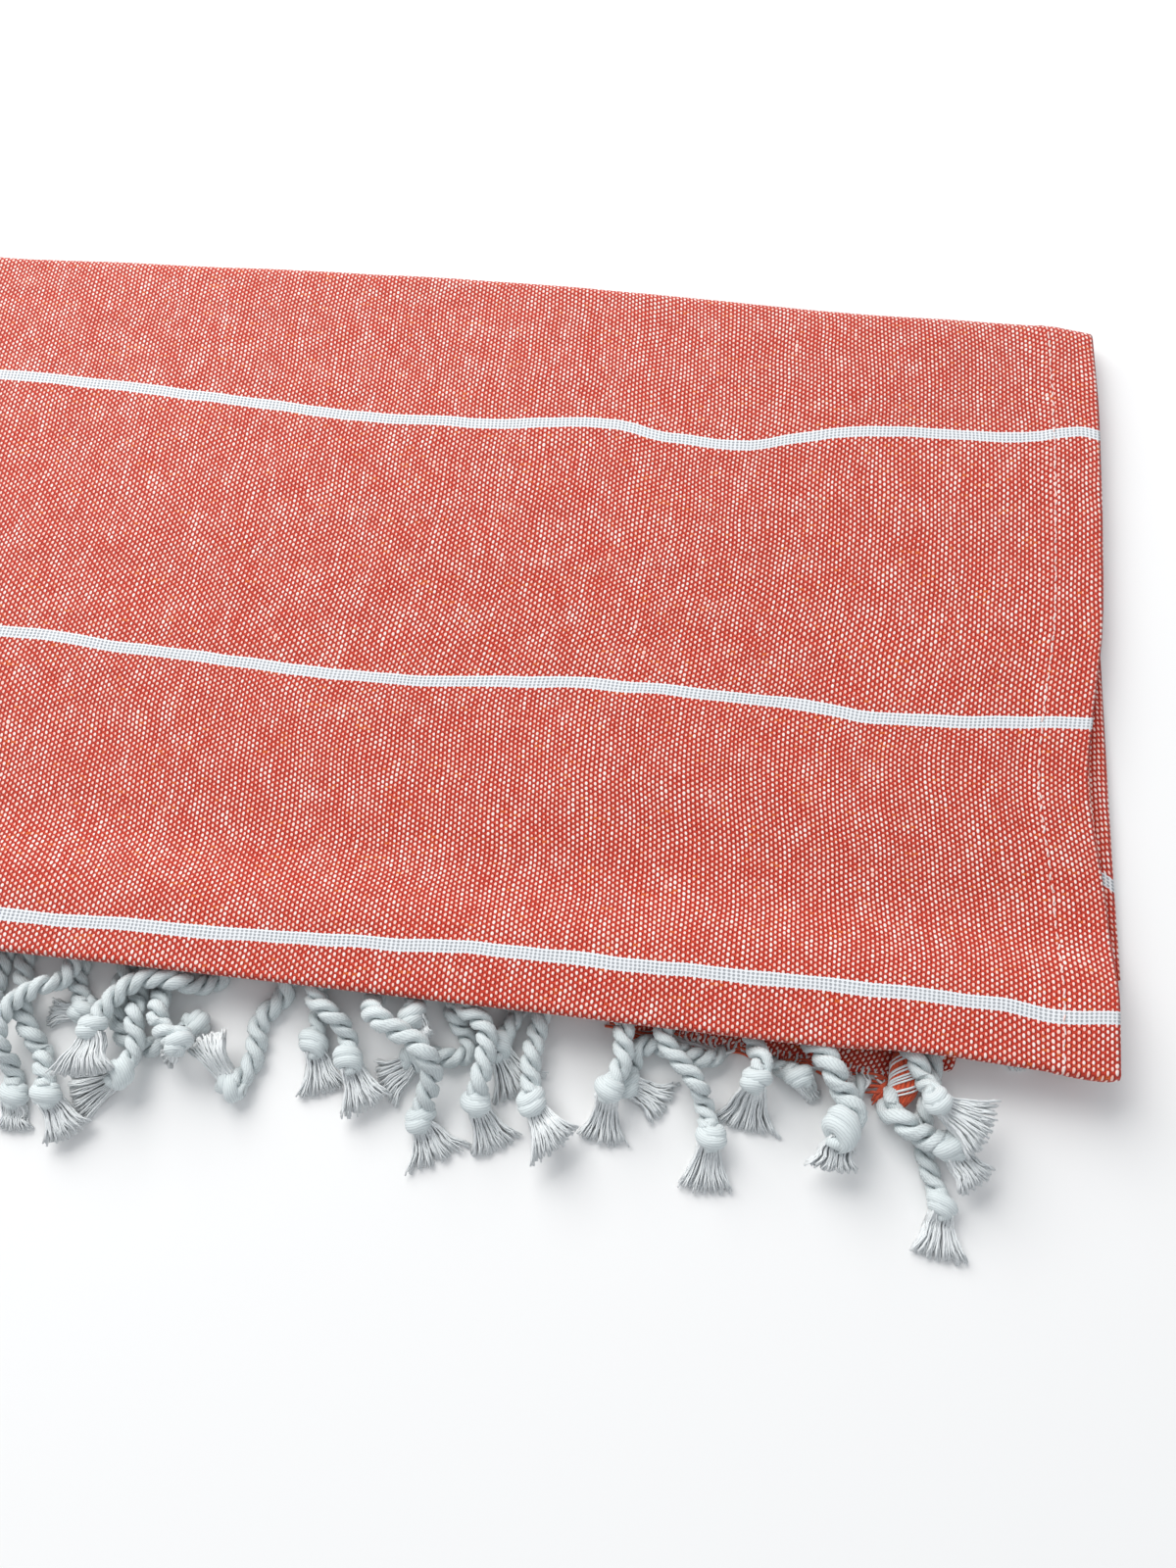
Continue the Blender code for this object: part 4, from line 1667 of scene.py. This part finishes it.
@dataclass
class FringeLayout:
    """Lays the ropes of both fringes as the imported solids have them."""

    plan: FoldPlan
    seam_gap: float = 0.3
    strip_width: float = 2.0
    cloth_top: float = 1.2
    clearance: float = 0.3
    rope_width: float = 4.4
    rope_height: float = 3.5
    pressed_height: float = 3.0
    root_width: float = 7.6
    root_height: float = 0.9
    root_length: float = 6.0
    sunk_root: float = 0.15
    knot_width: float = 8.0
    knot_height: float = 5.2
    pressed_knot_height: float = 5.0
    knot_half_length: float = 4.3
    knot_step: float = 1.6
    knot_taper: float = 0.6
    neck_width: float = 4.8
    neck_height: float = 3.0
    tuft_width: float = 10.5
    tuft_height: float = 2.0
    ring_spacing: float = 3.3
    climb: float = 1.5
    cell: float = 0.5
    fold_inset: float = 2.0
    fold_blend: float = 6.0
    map_x: tuple[float, float] = (-330.0, 300.0)
    map_y: tuple[float, float] = (-60.0, 40.0)
    bottom_x: tuple[float, float] = (-266.0, 217.0)
    ropes: dict[FringeName, list[LaidRope]] = field(default_factory=dict)

    def lay(self, fringes: Sequence[FringePlan]) -> None:
        """Lays every rope in its turn, over those that are there.

        Args:
            fringes: The fringes' plans.
        """
        near = self.plan.near
        heights = HeightMap(*self.map_x, near + self.map_y[0], near + self.map_y[1], self.cell)
        heights.cover(*self.bottom_x,
                      lambda x: self.plan.bottom_end.at(x) - self.seam_gap - self.strip_width,
                      self.cloth_top)
        jobs = []
        for fringe in fringes:
            self.ropes[fringe.name] = []
            for root_x, row in fringe.roots():
                jobs.append((row.over.value, fringe.name.value, -root_x, fringe, row))
        for _, _, left, fringe, row in sorted(jobs, key=lambda job: job[:3]):
            start = self.end_of_cloth(fringe.name, row.start - left)
            start -= self.seam_gap + self.strip_width / 2
            self.ropes[fringe.name].append(self.lay_rope(heights, fringe, -left, start, row))

    def end_of_cloth(self, name: FringeName, x: float) -> float:
        """Y of the cloth's end that a fringe grows from."""
        return self.plan.bottom_end.at(x) if name is FringeName.LOWER else self.plan.upper_row

    def under_fold(self, y: float) -> float:
        """How far a place is under the near fold, from 0 outside to 1 inside."""
        return 1.0 - smooth_step((self.plan.near + self.fold_inset - y) / self.fold_blend)

    def pressed(self, y: float, free: float, flat: float) -> float:
        """Height that is free outside the near fold and flat under it."""
        return free + (flat - free) * self.under_fold(y)

    def lay_rope(self, heights: HeightMap, fringe: FringePlan, root_x: float, start: float,
                 row: RopeRow) -> LaidRope:
        """Lays one rope.

        Args:
            heights: What lies there already; the rope is added to it.
            fringe: The rope's fringe.
            root_x: X of its root.
            start: Y of its root.
            row: Its route.

        Returns:
            The rope in its place.
        """
        near = self.plan.near
        points = [Vector((root_x + row.start, start))]
        points += [Vector((root_x + dx, near - out)) for dx, out in (*row.bends, row.knot)]
        route = smooth_route(points, Vector((0.0, -1.0)))
        knot = points[-1]
        while len(route) > 2 and (route[-1] - knot).length < self.knot_half_length:
            route.pop()
        middles = even_points(route, self.ring_spacing)
        rings = self.rope_rings(middles)
        angle = math.radians(row.tuft_deg)
        tuft = Vector((math.cos(angle), math.sin(angle)))
        arriving = (knot - middles[-1]).normalized()
        end = self.knot_and_tuft(knot, arriving, tuft, row)
        rings += end
        self.settle(rings, heights, fringe.strip_base)
        knot_base = (end[0].base + end[1].base) / 2
        return LaidRope(row, root_x, rings[:-len(end)], knot, arriving, tuft, knot_base,
                        end[-1].base, self.under_fold(knot.y))

    def rope_rings(self, middles: Sequence[Vector]) -> list[Ring]:
        """Cross-sections of the twisted part, which starts out wide and flat.

        Args:
            middles: Where they are, from the root to the knot.

        Returns:
            One cross-section at each place.
        """
        rings, travelled = [], 0.0
        for index, middle in enumerate(middles):
            if index:
                travelled += (middle - middles[index - 1]).length
            share = smooth_step(travelled / self.root_length)
            full = self.pressed(middle.y, self.rope_height, self.pressed_height)
            rings.append(Ring(middle, self.root_width + (self.rope_width - self.root_width) * share,
                              self.root_height + (full - self.root_height) * share))
        return rings

    def knot_and_tuft(self, knot: Vector, arriving: Vector, tuft: Vector,
                      row: RopeRow) -> list[Ring]:
        """Cross-sections of the knot, the neck below it and the tuft.

        Args:
            knot: The knot's middle.
            arriving: The rope's direction into it.
            tuft: The tuft's direction.
            row: The rope's row.

        Returns:
            Two cross-sections of the knot and three of the tuft.
        """
        tall = self.pressed(knot.y, self.knot_height, self.pressed_knot_height)
        across = (arriving + tuft).normalized()
        neck, tip = knot + tuft * self.knot_half_length, knot + tuft * row.tuft_length
        fan = self.tuft_width * row.spread
        return [Ring(knot - arriving * self.knot_step, self.knot_width, tall),
                Ring(knot + across * self.knot_step, self.knot_width - self.knot_taper, tall),
                Ring(neck, self.neck_width, self.neck_height),
                Ring(neck.lerp(tip, 0.55), fan * 0.8, self.tuft_height + 0.4),
                Ring(tip, fan, self.tuft_height)]

    def settle(self, rings: list[Ring], heights: HeightMap, strip_base: float) -> None:
        """Gives each ring the height of its underside, and records the rope's tops.

        Args:
            rings: The rope's cross-sections, whose bases are set.
            heights: What lies there already.
            strip_base: Underside of the strip that the rope grows from.
        """
        along = [0.0]
        for before, after in zip(rings, rings[1:]):
            along.append(along[-1] + (after.middle - before.middle).length)
        for place, middle, half, _, _ in self.between(rings):
            here = float(np.interp(place, range(len(rings)), along))
            top = heights.highest(middle, half + self.clearance)
            needed = top + self.clearance if top > 0.0 else 0.0
            for index, ring in enumerate(rings):
                span = along[min(index + 1, len(rings) - 1)] - along[max(index - 1, 0)]
                distance = max(abs(here - along[index]) - span / 2, 0.0)
                ring.base = max(ring.base, needed - self.climb * distance)
        rings[0].base = strip_base + self.sunk_root
        rings[1].base = max(rings[1].base, strip_base - self.climb * along[1])
        for _, middle, half, height, base in self.between(rings):
            heights.raise_to(middle, half, base + height)

    @staticmethod
    def between(rings: Sequence[Ring]) -> Iterator[tuple[float, Vector, float, float, float]]:
        """Yields fine samples between rings: place, middle, half width, height and base.

        Args:
            rings: The rope's cross-sections.

        Yields:
            Five values a sample.
        """
        for index, (first, second) in enumerate(zip(rings, rings[1:])):
            count = max(int((second.middle - first.middle).length), 1)
            for part in range(count + 1):
                share = part / count
                yield (index + share, first.middle.lerp(second.middle, share),
                       (first.width + (second.width - first.width) * share) / 2,
                       first.height + (second.height - first.height) * share,
                       first.base + (second.base - first.base) * share)


# ------------------------ fringe pieces


@dataclass
class RopeFringe:
    """The pieces of one fringe: gathered roots, twisted ropes, knots and tufts."""

    name: FringeName
    layout: FringeLayout
    seed: int
    ply_pitch: float = 8.4
    ply_offset: float = 1.16
    ply_out: float = 1.32
    ply_in: float = 1.20
    ply_half_width: float = 1.86
    ply_flat: float = 0.90
    ply_pressed_flat: float = 0.76
    ply_sides: int = 10
    step: float = 0.75
    knot_strand: float = 1.65
    knot_spread: float = 1.75
    knot_ring: float = 1.85
    knot_turns: float = 1.8
    knot_length: float = 3.0
    knot_flat: float = 0.82
    knot_sides: int = 14
    knot_points: int = 36
    press: float = 0.16
    tuft_yarns: int = 100
    tuft_row: int = 25
    tuft_clumps: int = 7
    tuft_clumping: float = 0.38
    tuft_fan: float = 0.54
    tuft_base: float = 2.1
    tuft_radius: float = 0.31
    tuft_tip_radius: float = 0.27
    tuft_levels: float = 3.4
    tuft_rounding: float = 0.08
    tuft_start: float = 1.6
    tuft_neck: float = 4.2
    tuft_neck_width: float = 5.0
    tuft_depths: Triple = (2.6, 2.4, 1.7)
    tuft_lifts: Triple = (-0.6, 0.6, 0.4)
    tuft_point_spacing: float = 1.7
    crimp: float = 0.10
    root_yarns: int = 11
    root_radius: float = 0.40
    root_places: tuple[float, float] = (2.2, 5.5)
    root_half_width: float = 0.46
    root_inset: float = 1.4
    root_lift: float = 0.35
    root_edge: float = 0.9
    gathered_width: float = 2.9
    closed_width: float = 1.1
    strand_height: float = 4.0
    pressed_height: float = 3.3

    def build(self) -> list[bpy.types.Object]:
        """Makes the fringe's pieces.

        Returns:
            Ropes, knots, tufts and roots.
        """
        chance = np.random.default_rng(self.seed)
        ropes, knots, tufts, roots = (TubeBatch() for _ in range(4))
        for rope in self.layout.ropes[self.name]:
            line = self.centre_line(rope)
            ropes.add(self.plies(rope, line, chance))
            knots.add([self.knot(rope, chance)])
            tufts.add(self.tuft(rope, chance))
            roots.add(self.gathered(rope, line, chance))
        finished = (("rope", ropes, ROPE_YARN), ("knot", knots, KNOT_YARN),
                    ("tuft", tufts, LOOSE_YARN), ("root", roots, LOOSE_YARN))
        return [batch.build(f"{self.name.value}_{part}s",
                            yarn.material(f"{self.name.value}_{part}_yarn"))
                for part, batch, yarn in finished]

    def centre_line(self, rope: LaidRope) -> np.ndarray:
        """Smooth middle line of a rope, from its root into its knot.

        Args:
            rope: The laid rope.

        Returns:
            The line's points, one a row.
        """
        points = []
        for index, ring in enumerate(rope.rings):
            tall = self.layout.pressed(ring.middle.y, self.strand_height, self.pressed_height)
            tall = min(tall, ring.height + 0.6) if index < 3 else tall
            points.append((ring.middle.x, ring.middle.y, ring.base + tall / 2))
        inside = rope.knot - rope.arriving * 1.2
        points.append((inside.x, inside.y, self.knot_middle(rope)))
        return resampled(rounded(np.array(points)), self.step)

    def knot_middle(self, rope: LaidRope) -> float:
        """Height of a knot's middle."""
        reach = (self.knot_ring + self.knot_strand) * rope.row.stout
        return rope.knot_base + reach * self.knot_rise(rope)

    def knot_rise(self, rope: LaidRope) -> float:
        """A knot's height as a share of its width."""
        return self.knot_flat * (1.0 - self.press * rope.under_fold)

    def plies(self, rope: LaidRope, line: np.ndarray,
              chance: np.random.Generator) -> Iterator[Tube]:
        """Yields the two plies that are twisted into a rope.

        Args:
            rope: The laid rope.
            line: Its centre line.
            chance: Source of small unevenness.

        Yields:
            One tube a ply.
        """
        aside, upward = level_frames(line)
        along = distances(line)
        stout = rope.row.stout * chance.uniform(0.95, 1.05)
        size = stout * (0.62 + 0.38 * np.clip(along / self.layout.root_length, 0.0, 1.0))
        flat = np.array([self.layout.pressed(y, self.ply_flat, self.ply_pressed_flat)
                         for y in line[:, 1]])
        turn = chance.uniform(0.0, math.tau) + along * math.tau / (self.ply_pitch * stout)
        turn = turn + 0.35 * np.sin(along / 5.0 + chance.uniform(0.0, math.tau))
        angles = np.linspace(0.0, math.tau, self.ply_sides + 1)
        angles[-1] = 0.0
        reach = np.where(np.cos(angles) > 0.0, self.ply_out, self.ply_in) * np.cos(angles)
        width = self.ply_half_width * np.sin(angles)
        for phase in (0.0, math.pi):
            cos, sin = np.cos(turn + phase)[:, None], np.sin(turn + phase)[:, None]
            out = (self.ply_offset + reach)[None, :]
            across = (out * cos - width[None, :] * sin) * size[:, None]
            above = (out * sin + width[None, :] * cos) * (size * flat)[:, None]
            rings = (line[:, None, :] + aside[:, None, :] * across[:, :, None]
                     + upward[:, None, :] * above[:, :, None])
            yield capped(rings, line)

    def knot(self, rope: LaidRope, chance: np.random.Generator) -> Tube:
        """A knot drawn tight: one thick strand that winds aslant round the rope.

        Args:
            rope: The laid rope.
            chance: Source of small unevenness.

        Returns:
            The knot's strand.
        """
        axis = rope.arriving + rope.tuft
        if axis.length < 0.5:
            axis = rope.tuft.orthogonal()
        axis.normalize()
        ahead = np.array((axis.x, axis.y, 0.0))
        aside = np.array((axis.y, -axis.x, 0.0))
        middle = np.array((rope.knot.x, rope.knot.y, self.knot_middle(rope)))
        spin = chance.uniform(0.0, math.tau)
        stout = rope.row.stout * chance.uniform(0.95, 1.06)
        rise = self.knot_rise(rope)
        tilt = chance.uniform(0.7, 1.1) * chance.choice((-1.0, 1.0))
        local = [(-3.6, 0.0, 0.0), (-2.5, 0.0, 0.0)]
        for share in np.linspace(0.0, 1.0, self.knot_points):
            angle = spin + share * self.knot_turns * math.tau
            ring = self.knot_ring * (0.35 + 0.65 * smooth_step(min(share, 1.0 - share) / 0.13))
            local.append(((share - 0.5) * self.knot_length + tilt * math.sin(angle - spin / 2),
                          ring * math.cos(angle), ring * math.sin(angle)))
        local += [(2.5, 0.0, 0.0), (3.5, 0.0, 0.0)]
        line = np.array([middle + stout * (p * ahead + q * aside + np.array((0, 0, w * rise)))
                         for p, q, w in local])
        line = resampled(rounded(line, 2), 0.85)
        one, two = carried_frames(line, middle)
        radii = np.full(len(line), stout)
        taper = np.array((0.75, 0.88, 0.96))
        radii[:3] *= taper
        radii[-3:] *= taper[::-1]
        tube = swept(line, one, two, radii * self.knot_strand, radii * self.knot_spread,
                     self.knot_sides)
        tube.rings[:, :, 2] = middle[2] + (tube.rings[:, :, 2] - middle[2]) * (0.5 + rise / 2)
        return tube

    def tuft(self, rope: LaidRope, chance: np.random.Generator) -> Iterator[Tube]:
        """Yields the loose yarns below a knot, spread like a small broom.

        Args:
            rope: The laid rope.
            chance: Source of small unevenness.

        Yields:
            One tube a yarn.
        """
        middle, floor = self.knot_middle(rope), rope.tip_base
        clumps = np.linspace(-1.0, 1.0, self.tuft_clumps)
        clumps += chance.uniform(-0.07, 0.07, self.tuft_clumps)
        reaches = chance.uniform(0.90, 1.04, self.tuft_clumps)
        lean = chance.uniform(-0.12, 0.12)
        deep, less_deep, shallow = self.tuft_depths
        sunk, half_lift, tip_lift = self.tuft_lifts
        for index in range(self.tuft_yarns):
            even = 2.0 * (index % self.tuft_row) / (self.tuft_row - 1) - 1.0
            clump = clumps[round((even + 1.0) / 2.0 * (self.tuft_clumps - 1))]
            clump = even + (clump - even) * self.tuft_clumping
            fan = ((clump + chance.normal(0.0, 0.03)) * self.tuft_fan + lean) * rope.row.spread
            level = (index // self.tuft_row + chance.uniform(-0.2, 0.4)) / self.tuft_levels
            reach = rope.row.tuft_length * (1.0 - self.tuft_rounding * clump * clump)
            reach *= reaches[index % self.tuft_clumps] * chance.uniform(0.95, 1.03)
            aside = clump * self.tuft_base + chance.uniform(-0.3, 0.3)
            start = rope.beyond_knot(self.tuft_start, aside, middle + (level - 0.5) * deep)
            neck = rope.beyond_knot(self.tuft_neck, fan * self.tuft_neck_width,
                                    (floor + middle) / 2 + sunk + (level - 0.5) * less_deep)
            bend = chance.uniform(-0.4, 0.4)
            half = rope.beyond_knot(2.0 + reach / 2,
                                    math.tan(fan) * (reach * 0.62 - 0.4) + bend * 0.5,
                                    floor + half_lift + level * shallow)
            tip = rope.beyond_knot(reach, math.tan(fan) * (reach - 0.8) - bend,
                                   floor + tip_lift + level * chance.uniform(0.8, 1.5))
            line = resampled(rounded(np.array((start, neck, half, tip))),
                             self.tuft_point_spacing, 6)
            one, two = level_frames(line)
            waves = np.sin(np.linspace(0.0, chance.uniform(10.0, 16.0), len(line))
                           + chance.uniform(0.0, math.tau))
            line = line + one * (waves * self.crimp)[:, None]
            radii = (np.linspace(self.tuft_radius, self.tuft_tip_radius, len(line))
                     * chance.uniform(0.85, 1.12))
            radii *= 1.0 + (index < self.tuft_row)
            yield swept(line, one, two, radii, radii, 3)

    def gathered(self, rope: LaidRope, line: np.ndarray,
                 chance: np.random.Generator) -> Iterator[Tube]:
        """Yields the warps that leave the cloth's end and close into a rope.

        Args:
            rope: The laid rope.
            line: Its centre line.
            chance: Source of small unevenness.

        Yields:
            One tube a warp.
        """
        half_way, into = values_at(line, distances(line), np.array(self.root_places))
        cloth_z = rope.rings[0].base - self.layout.sunk_root + self.layout.plan.floor_gap
        for index in range(self.root_yarns):
            spread = (index / (self.root_yarns - 1) - 0.5) * 2.0
            x = (rope.root_x + spread * ROPE_PITCH * self.root_half_width
                 + chance.uniform(-0.3, 0.3))
            y = self.layout.end_of_cloth(self.name, x)
            start = np.array((x, y + self.root_inset, cloth_z + self.root_lift))
            edge = np.array((x - spread * 0.5, y - self.root_edge,
                             cloth_z + chance.uniform(0.0, 0.5)))
            mid = half_way + np.array((spread * self.gathered_width,
                                       0.9 * abs(spread) + 0.4, 0.0))
            mid[2] = max(mid[2] * 0.8, cloth_z)
            end = into + np.array((spread * self.closed_width, 0.0, chance.uniform(-0.4, 0.8)))
            curve = resampled(rounded(np.array((start, edge, mid, end))), 1.5, 6)
            radii = np.full(len(curve), self.root_radius * chance.uniform(0.85, 1.15))
            yield round_tube(curve, radii, 4)


@dataclass
class FrayedEnd:
    """Coral weft ends along the lower end, and the coral root at its right corner."""

    plan: FoldPlan
    seed: int = 5
    weft_radius: float = 0.34
    weft_rows: int = 3
    first_weft: float = 208.0
    last_weft: float = 140.0
    bundle_strands: int = 16
    bundle_radius: float = 0.72
    bundle_twist: float = 1.1
    bundle_width: float = 1.75
    bundle_height: float = 0.85
    frays: int = 24
    wrap_count: int = 10
    wrap_points: int = 12
    wrap_radius: float = 0.26
    wrap_start: float = -4.6
    wrap_apart: float = 1.1
    wrap_climb: float = 9.0
    wrap_clearance: float = 0.62

    def build(self) -> list[bpy.types.Object]:
        """Makes the coral pieces and the white wraps round the corner root.

        Returns:
            The coral piece and the white one.
        """
        chance = np.random.default_rng(self.seed)
        wefts, wraps = TubeBatch(), TubeBatch()
        wefts.add(self.loose_wefts(chance))
        wefts.add(self.corner_strands())
        wefts.add(self.corner_frays(chance))
        wraps.add(self.wraps(chance))
        return [wefts.build("frayed_wefts", CORAL_YARN.material("coral_yarn")),
                wraps.build("corner_wraps", LOOSE_YARN.material("wrap_yarn"))]

    def loose_wefts(self, chance: np.random.Generator) -> Iterator[Tube]:
        """Yields broken wefts that cross the gathered warps where the end shows.

        Args:
            chance: Source of small unevenness.

        Yields:
            One tube a weft.
        """
        for row in range(self.weft_rows):
            x = self.first_weft - 3.0 * row
            while x > self.last_weft:
                length = chance.uniform(7.0, 20.0)
                xs = np.linspace(x, x - length, 9)
                ys = [self.plan.bottom_end.at(value) - 0.5 - 0.75 * row
                      - 0.8 * math.cos(math.tau * (value - LOWER_ROOT) / ROPE_PITCH)
                      + chance.uniform(-0.18, 0.18) for value in xs]
                zs = 0.75 + 0.35 * np.cos(xs * 2.4) + chance.uniform(0.0, 0.35)
                line = rounded(np.stack((xs, ys, zs), axis=1), 2)
                yield round_tube(line, np.full(len(line), self.weft_radius), 4)
                x -= length + chance.uniform(0.5, 5.0) * (1 + row)

    def corner_line(self) -> np.ndarray:
        """Middle line of the coral root that the corner rope starts in.

        Returns:
            The line's points, one a row.
        """
        points = np.array(((204.9, -104.4, 2.9), (204.5, -107.6, 3.3), (204.0, -110.9, 3.3),
                           (203.2, -113.9, 3.0), (202.2, -116.2, 2.6)))
        return resampled(rounded(points), 0.8)

    @staticmethod
    def corner_reach(share: np.ndarray) -> np.ndarray:
        """Half height of the coral root at shares of its length."""
        return np.interp(share, (0.0, 0.25, 0.7, 1.0), (1.6, 1.9, 1.5, 0.5))

    def corner_strands(self) -> Iterator[Tube]:
        """Yields the strands of the coral bundle at the corner.

        Yields:
            One tube a strand.
        """
        line = self.corner_line()
        one, two = level_frames(line)
        share = np.linspace(0.0, 1.0, len(line))
        reach = self.corner_reach(share)
        for index in range(self.bundle_strands):
            swing = math.tau * index / self.bundle_strands + share * self.bundle_twist
            strand = (line + one * (np.cos(swing) * reach * self.bundle_width)[:, None]
                      + two * (np.sin(swing) * reach * self.bundle_height)[:, None])
            yield round_tube(strand, self.bundle_radius * (1.0 - 0.3 * share), 6)

    def corner_frays(self, chance: np.random.Generator) -> Iterator[Tube]:
        """Yields the loose coral ends beside the bundle, a quarter of them higher up.

        Args:
            chance: Source of small unevenness.

        Yields:
            One tube an end.
        """
        for index in range(self.frays):
            high = index % 4 == 3
            start = np.array((200.6, -110.6 - 0.35 * (index % 8), 1.8))
            bend = np.array((chance.uniform(-1.8, -0.8), chance.uniform(-1.6, -0.6), 0.0))
            tip = np.array((chance.uniform(-3.6, -0.8), chance.uniform(-5.0, -2.2), 0.0))
            if high:
                bend[:2] *= (1.4, 0.3)
                tip[:2] = (chance.uniform(-5.6, -3.6), chance.uniform(-1.0, 0.6))
            points = np.array((start, start + bend, start + tip))
            points[1:, 2] = (1.3 + chance.uniform(0.0, 1.2), 0.5 + chance.uniform(0.0, 1.4))
            curve = resampled(rounded(points), 1.0, 5)
            radii = np.interp(np.linspace(0, 1, len(curve)), (0, 0.8, 1), (0.30, 0.27, 0.15))
            yield round_tube(curve, radii, 4)

    def wraps(self, chance: np.random.Generator) -> Iterator[Tube]:
        """Yields white warps that wind aslant over the coral root.

        Args:
            chance: Source of small unevenness.

        Yields:
            One tube a warp.
        """
        line = self.corner_line()
        one, two = level_frames(line)
        along = distances(line)
        climb = np.linspace(0.0, self.wrap_climb, self.wrap_points)
        over = np.linspace(-0.5, math.pi + 0.5, self.wrap_points)
        for index in range(self.wrap_count):
            start = self.wrap_start + index * self.wrap_apart + chance.uniform(-0.4, 0.4)
            places = np.clip(start + climb, 0.0, along[-1])
            angles = over + chance.uniform(-0.15, 0.15)
            reach = self.corner_reach(places / along[-1]) + self.wrap_clearance
            middles, lefts, tops = (values_at(rows, along, places) for rows in (line, one, two))
            curve = rounded(middles - lefts * (np.cos(angles) * reach * 1.55)[:, None]
                            + tops * (np.sin(angles) * reach * 0.95)[:, None], 2)
            first, second = carried_frames(curve)
            radii = np.full(len(curve), self.wrap_radius * chance.uniform(0.8, 1.2))
            yield swept(curve, first, second, radii, radii, 5)


# ------------------------ studio


@dataclass(frozen=True)
class SoftBox:
    """A square area light: its place, what it faces, its size and its power."""

    place: Triple
    size: float
    power: float
    tint: Triple = (1.0, 1.0, 1.0)
    target: Triple = (0.1, 0.0, 0.0)


@dataclass
class Studio:
    """Camera at the photograph's viewing angle, soft lights and a pale floor."""

    camera_place: Triple = (0.1458, -0.14425, 0.2820)
    camera_right: Triple = (0.99255, 0.11568, -0.03813)
    camera_up: Triple = (-0.09619, 0.93649, 0.33725)
    focal_px: float = 1202.0
    image_height_px: float = 1600.0
    sensor_mm: float = 24.0
    lights: tuple[SoftBox, ...] = (
        SoftBox((-0.48, 0.74, 0.86), 1.1, 20.5, (1.0, 0.99, 0.97)),
        SoftBox((0.95, -0.75, 1.1), 1.1, 2.5, (0.93, 0.97, 1.0)),
    )
    sky: Colour = (0.93, 0.96, 1.0, 1.0)
    sky_strength: float = 0.50
    floor_size: float = 6.0

    def build(self) -> None:
        """Sets up everything that isn't the towel."""
        self.add_camera()
        for index, light in enumerate(self.lights):
            self.add_light(f"soft_box_{index}", light)
        self.add_sky()
        self.add_floor()

    def add_camera(self) -> None:
        """Places the camera."""
        camera = bpy.data.cameras.new("camera")
        camera.sensor_fit = "VERTICAL"
        camera.sensor_height = self.sensor_mm
        camera.lens = self.sensor_mm * self.focal_px / self.image_height_px
        camera.clip_start = 0.01
        holder = bpy.data.objects.new("camera", camera)
        bpy.context.scene.collection.objects.link(holder)
        right, up = Vector(self.camera_right).normalized(), Vector(self.camera_up)
        back = right.cross(up).normalized()
        up = back.cross(right)
        turned = Matrix((right, up, back)).transposed().to_4x4()
        holder.matrix_world = Matrix.Translation(Vector(self.camera_place)) @ turned
        bpy.context.scene.camera = holder

    def add_light(self, name: str, light: SoftBox) -> None:
        """Places one area light.

        Args:
            name: The light's name.
            light: Its place and power.
        """
        data = bpy.data.lights.new(name, "AREA")
        data.shape, data.size = "SQUARE", light.size
        data.energy, data.color = light.power, light.tint
        holder = bpy.data.objects.new(name, data)
        bpy.context.scene.collection.objects.link(holder)
        facing = Vector(light.place) - Vector(light.target)
        holder.matrix_world = (Matrix.Translation(Vector(light.place))
                               @ facing.to_track_quat("Z", "Y").to_matrix().to_4x4())

    def add_sky(self) -> None:
        """Fills the shadows evenly from all round."""
        world = bpy.data.worlds.new("studio")
        world.use_nodes = True
        backdrop = world.node_tree.nodes["Background"]
        backdrop.inputs["Color"].default_value = self.sky
        backdrop.inputs["Strength"].default_value = self.sky_strength
        scene = bpy.context.scene
        scene.world = world
        scene.view_settings.view_transform = "Standard"

    def add_floor(self) -> None:
        """Lays the floor that the towel lies on."""
        bm = bmesh.new()
        bmesh.ops.create_grid(bm, x_segments=1, y_segments=1, size=self.floor_size / 2)
        mesh = bpy.data.meshes.new("studio_floor")
        bm.to_mesh(mesh)
        bm.free()
        placed("studio_floor", mesh, PaleFloor().material("pale_floor"))


# ------------------------ the towel


@dataclass
class HammamTowel:
    """The whole towel."""

    plan: FoldPlan = field(default_factory=FoldPlan)
    weave: PlainWeave = field(default_factory=PlainWeave)
    fringes: tuple[FringePlan, ...] = (
        FringePlan(FringeName.LOWER, LOWER_ROWS, LOWER_ROOT, 31, 0, 0.0),
        FringePlan(FringeName.UPPER, UPPER_ROWS, UPPER_ROOT, 32, 2, 1.9),
    )

    def build(self) -> None:
        """Makes every piece, hides the imported parts that they stand in for, and says what each
        rides on.
        """
        cloth = TowelCloth(self.plan, StripePlan(self.weave.stripe_spacing), self.weave)
        sheet = cloth.build()
        stitches = HemStitching(cloth, SEWING_THREAD).build()
        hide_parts("cloth")
        layout = FringeLayout(self.plan)
        layout.lay(self.fringes)
        trimmings = [stitches]
        for seed, fringe in enumerate(self.fringes):
            pieces = RopeFringe(fringe.name, layout, seed + 1).build()
            for piece in pieces:
                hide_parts(fringe.name.value)
            trimmings += pieces
        wefts, wraps = FrayedEnd(self.plan).build()
        trimmings += [wefts, wraps]
        for piece in (sheet, *trimmings):
            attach(piece, BODY)
        length = cloth.flat_length()
        LOG.info("flat cloth: %.0f by %.0f mm", self.plan.width, length)
        self.plan.width * METRE
        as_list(trimmings)


def main() -> None:
    """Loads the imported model, dresses it and logs the flat cloth's size."""
    logging.basicConfig(level=logging.INFO, format="%(name)s %(message)s")
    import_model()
    Studio().build()
    HammamTowel().build()


if __name__ == "__main__":
    main()
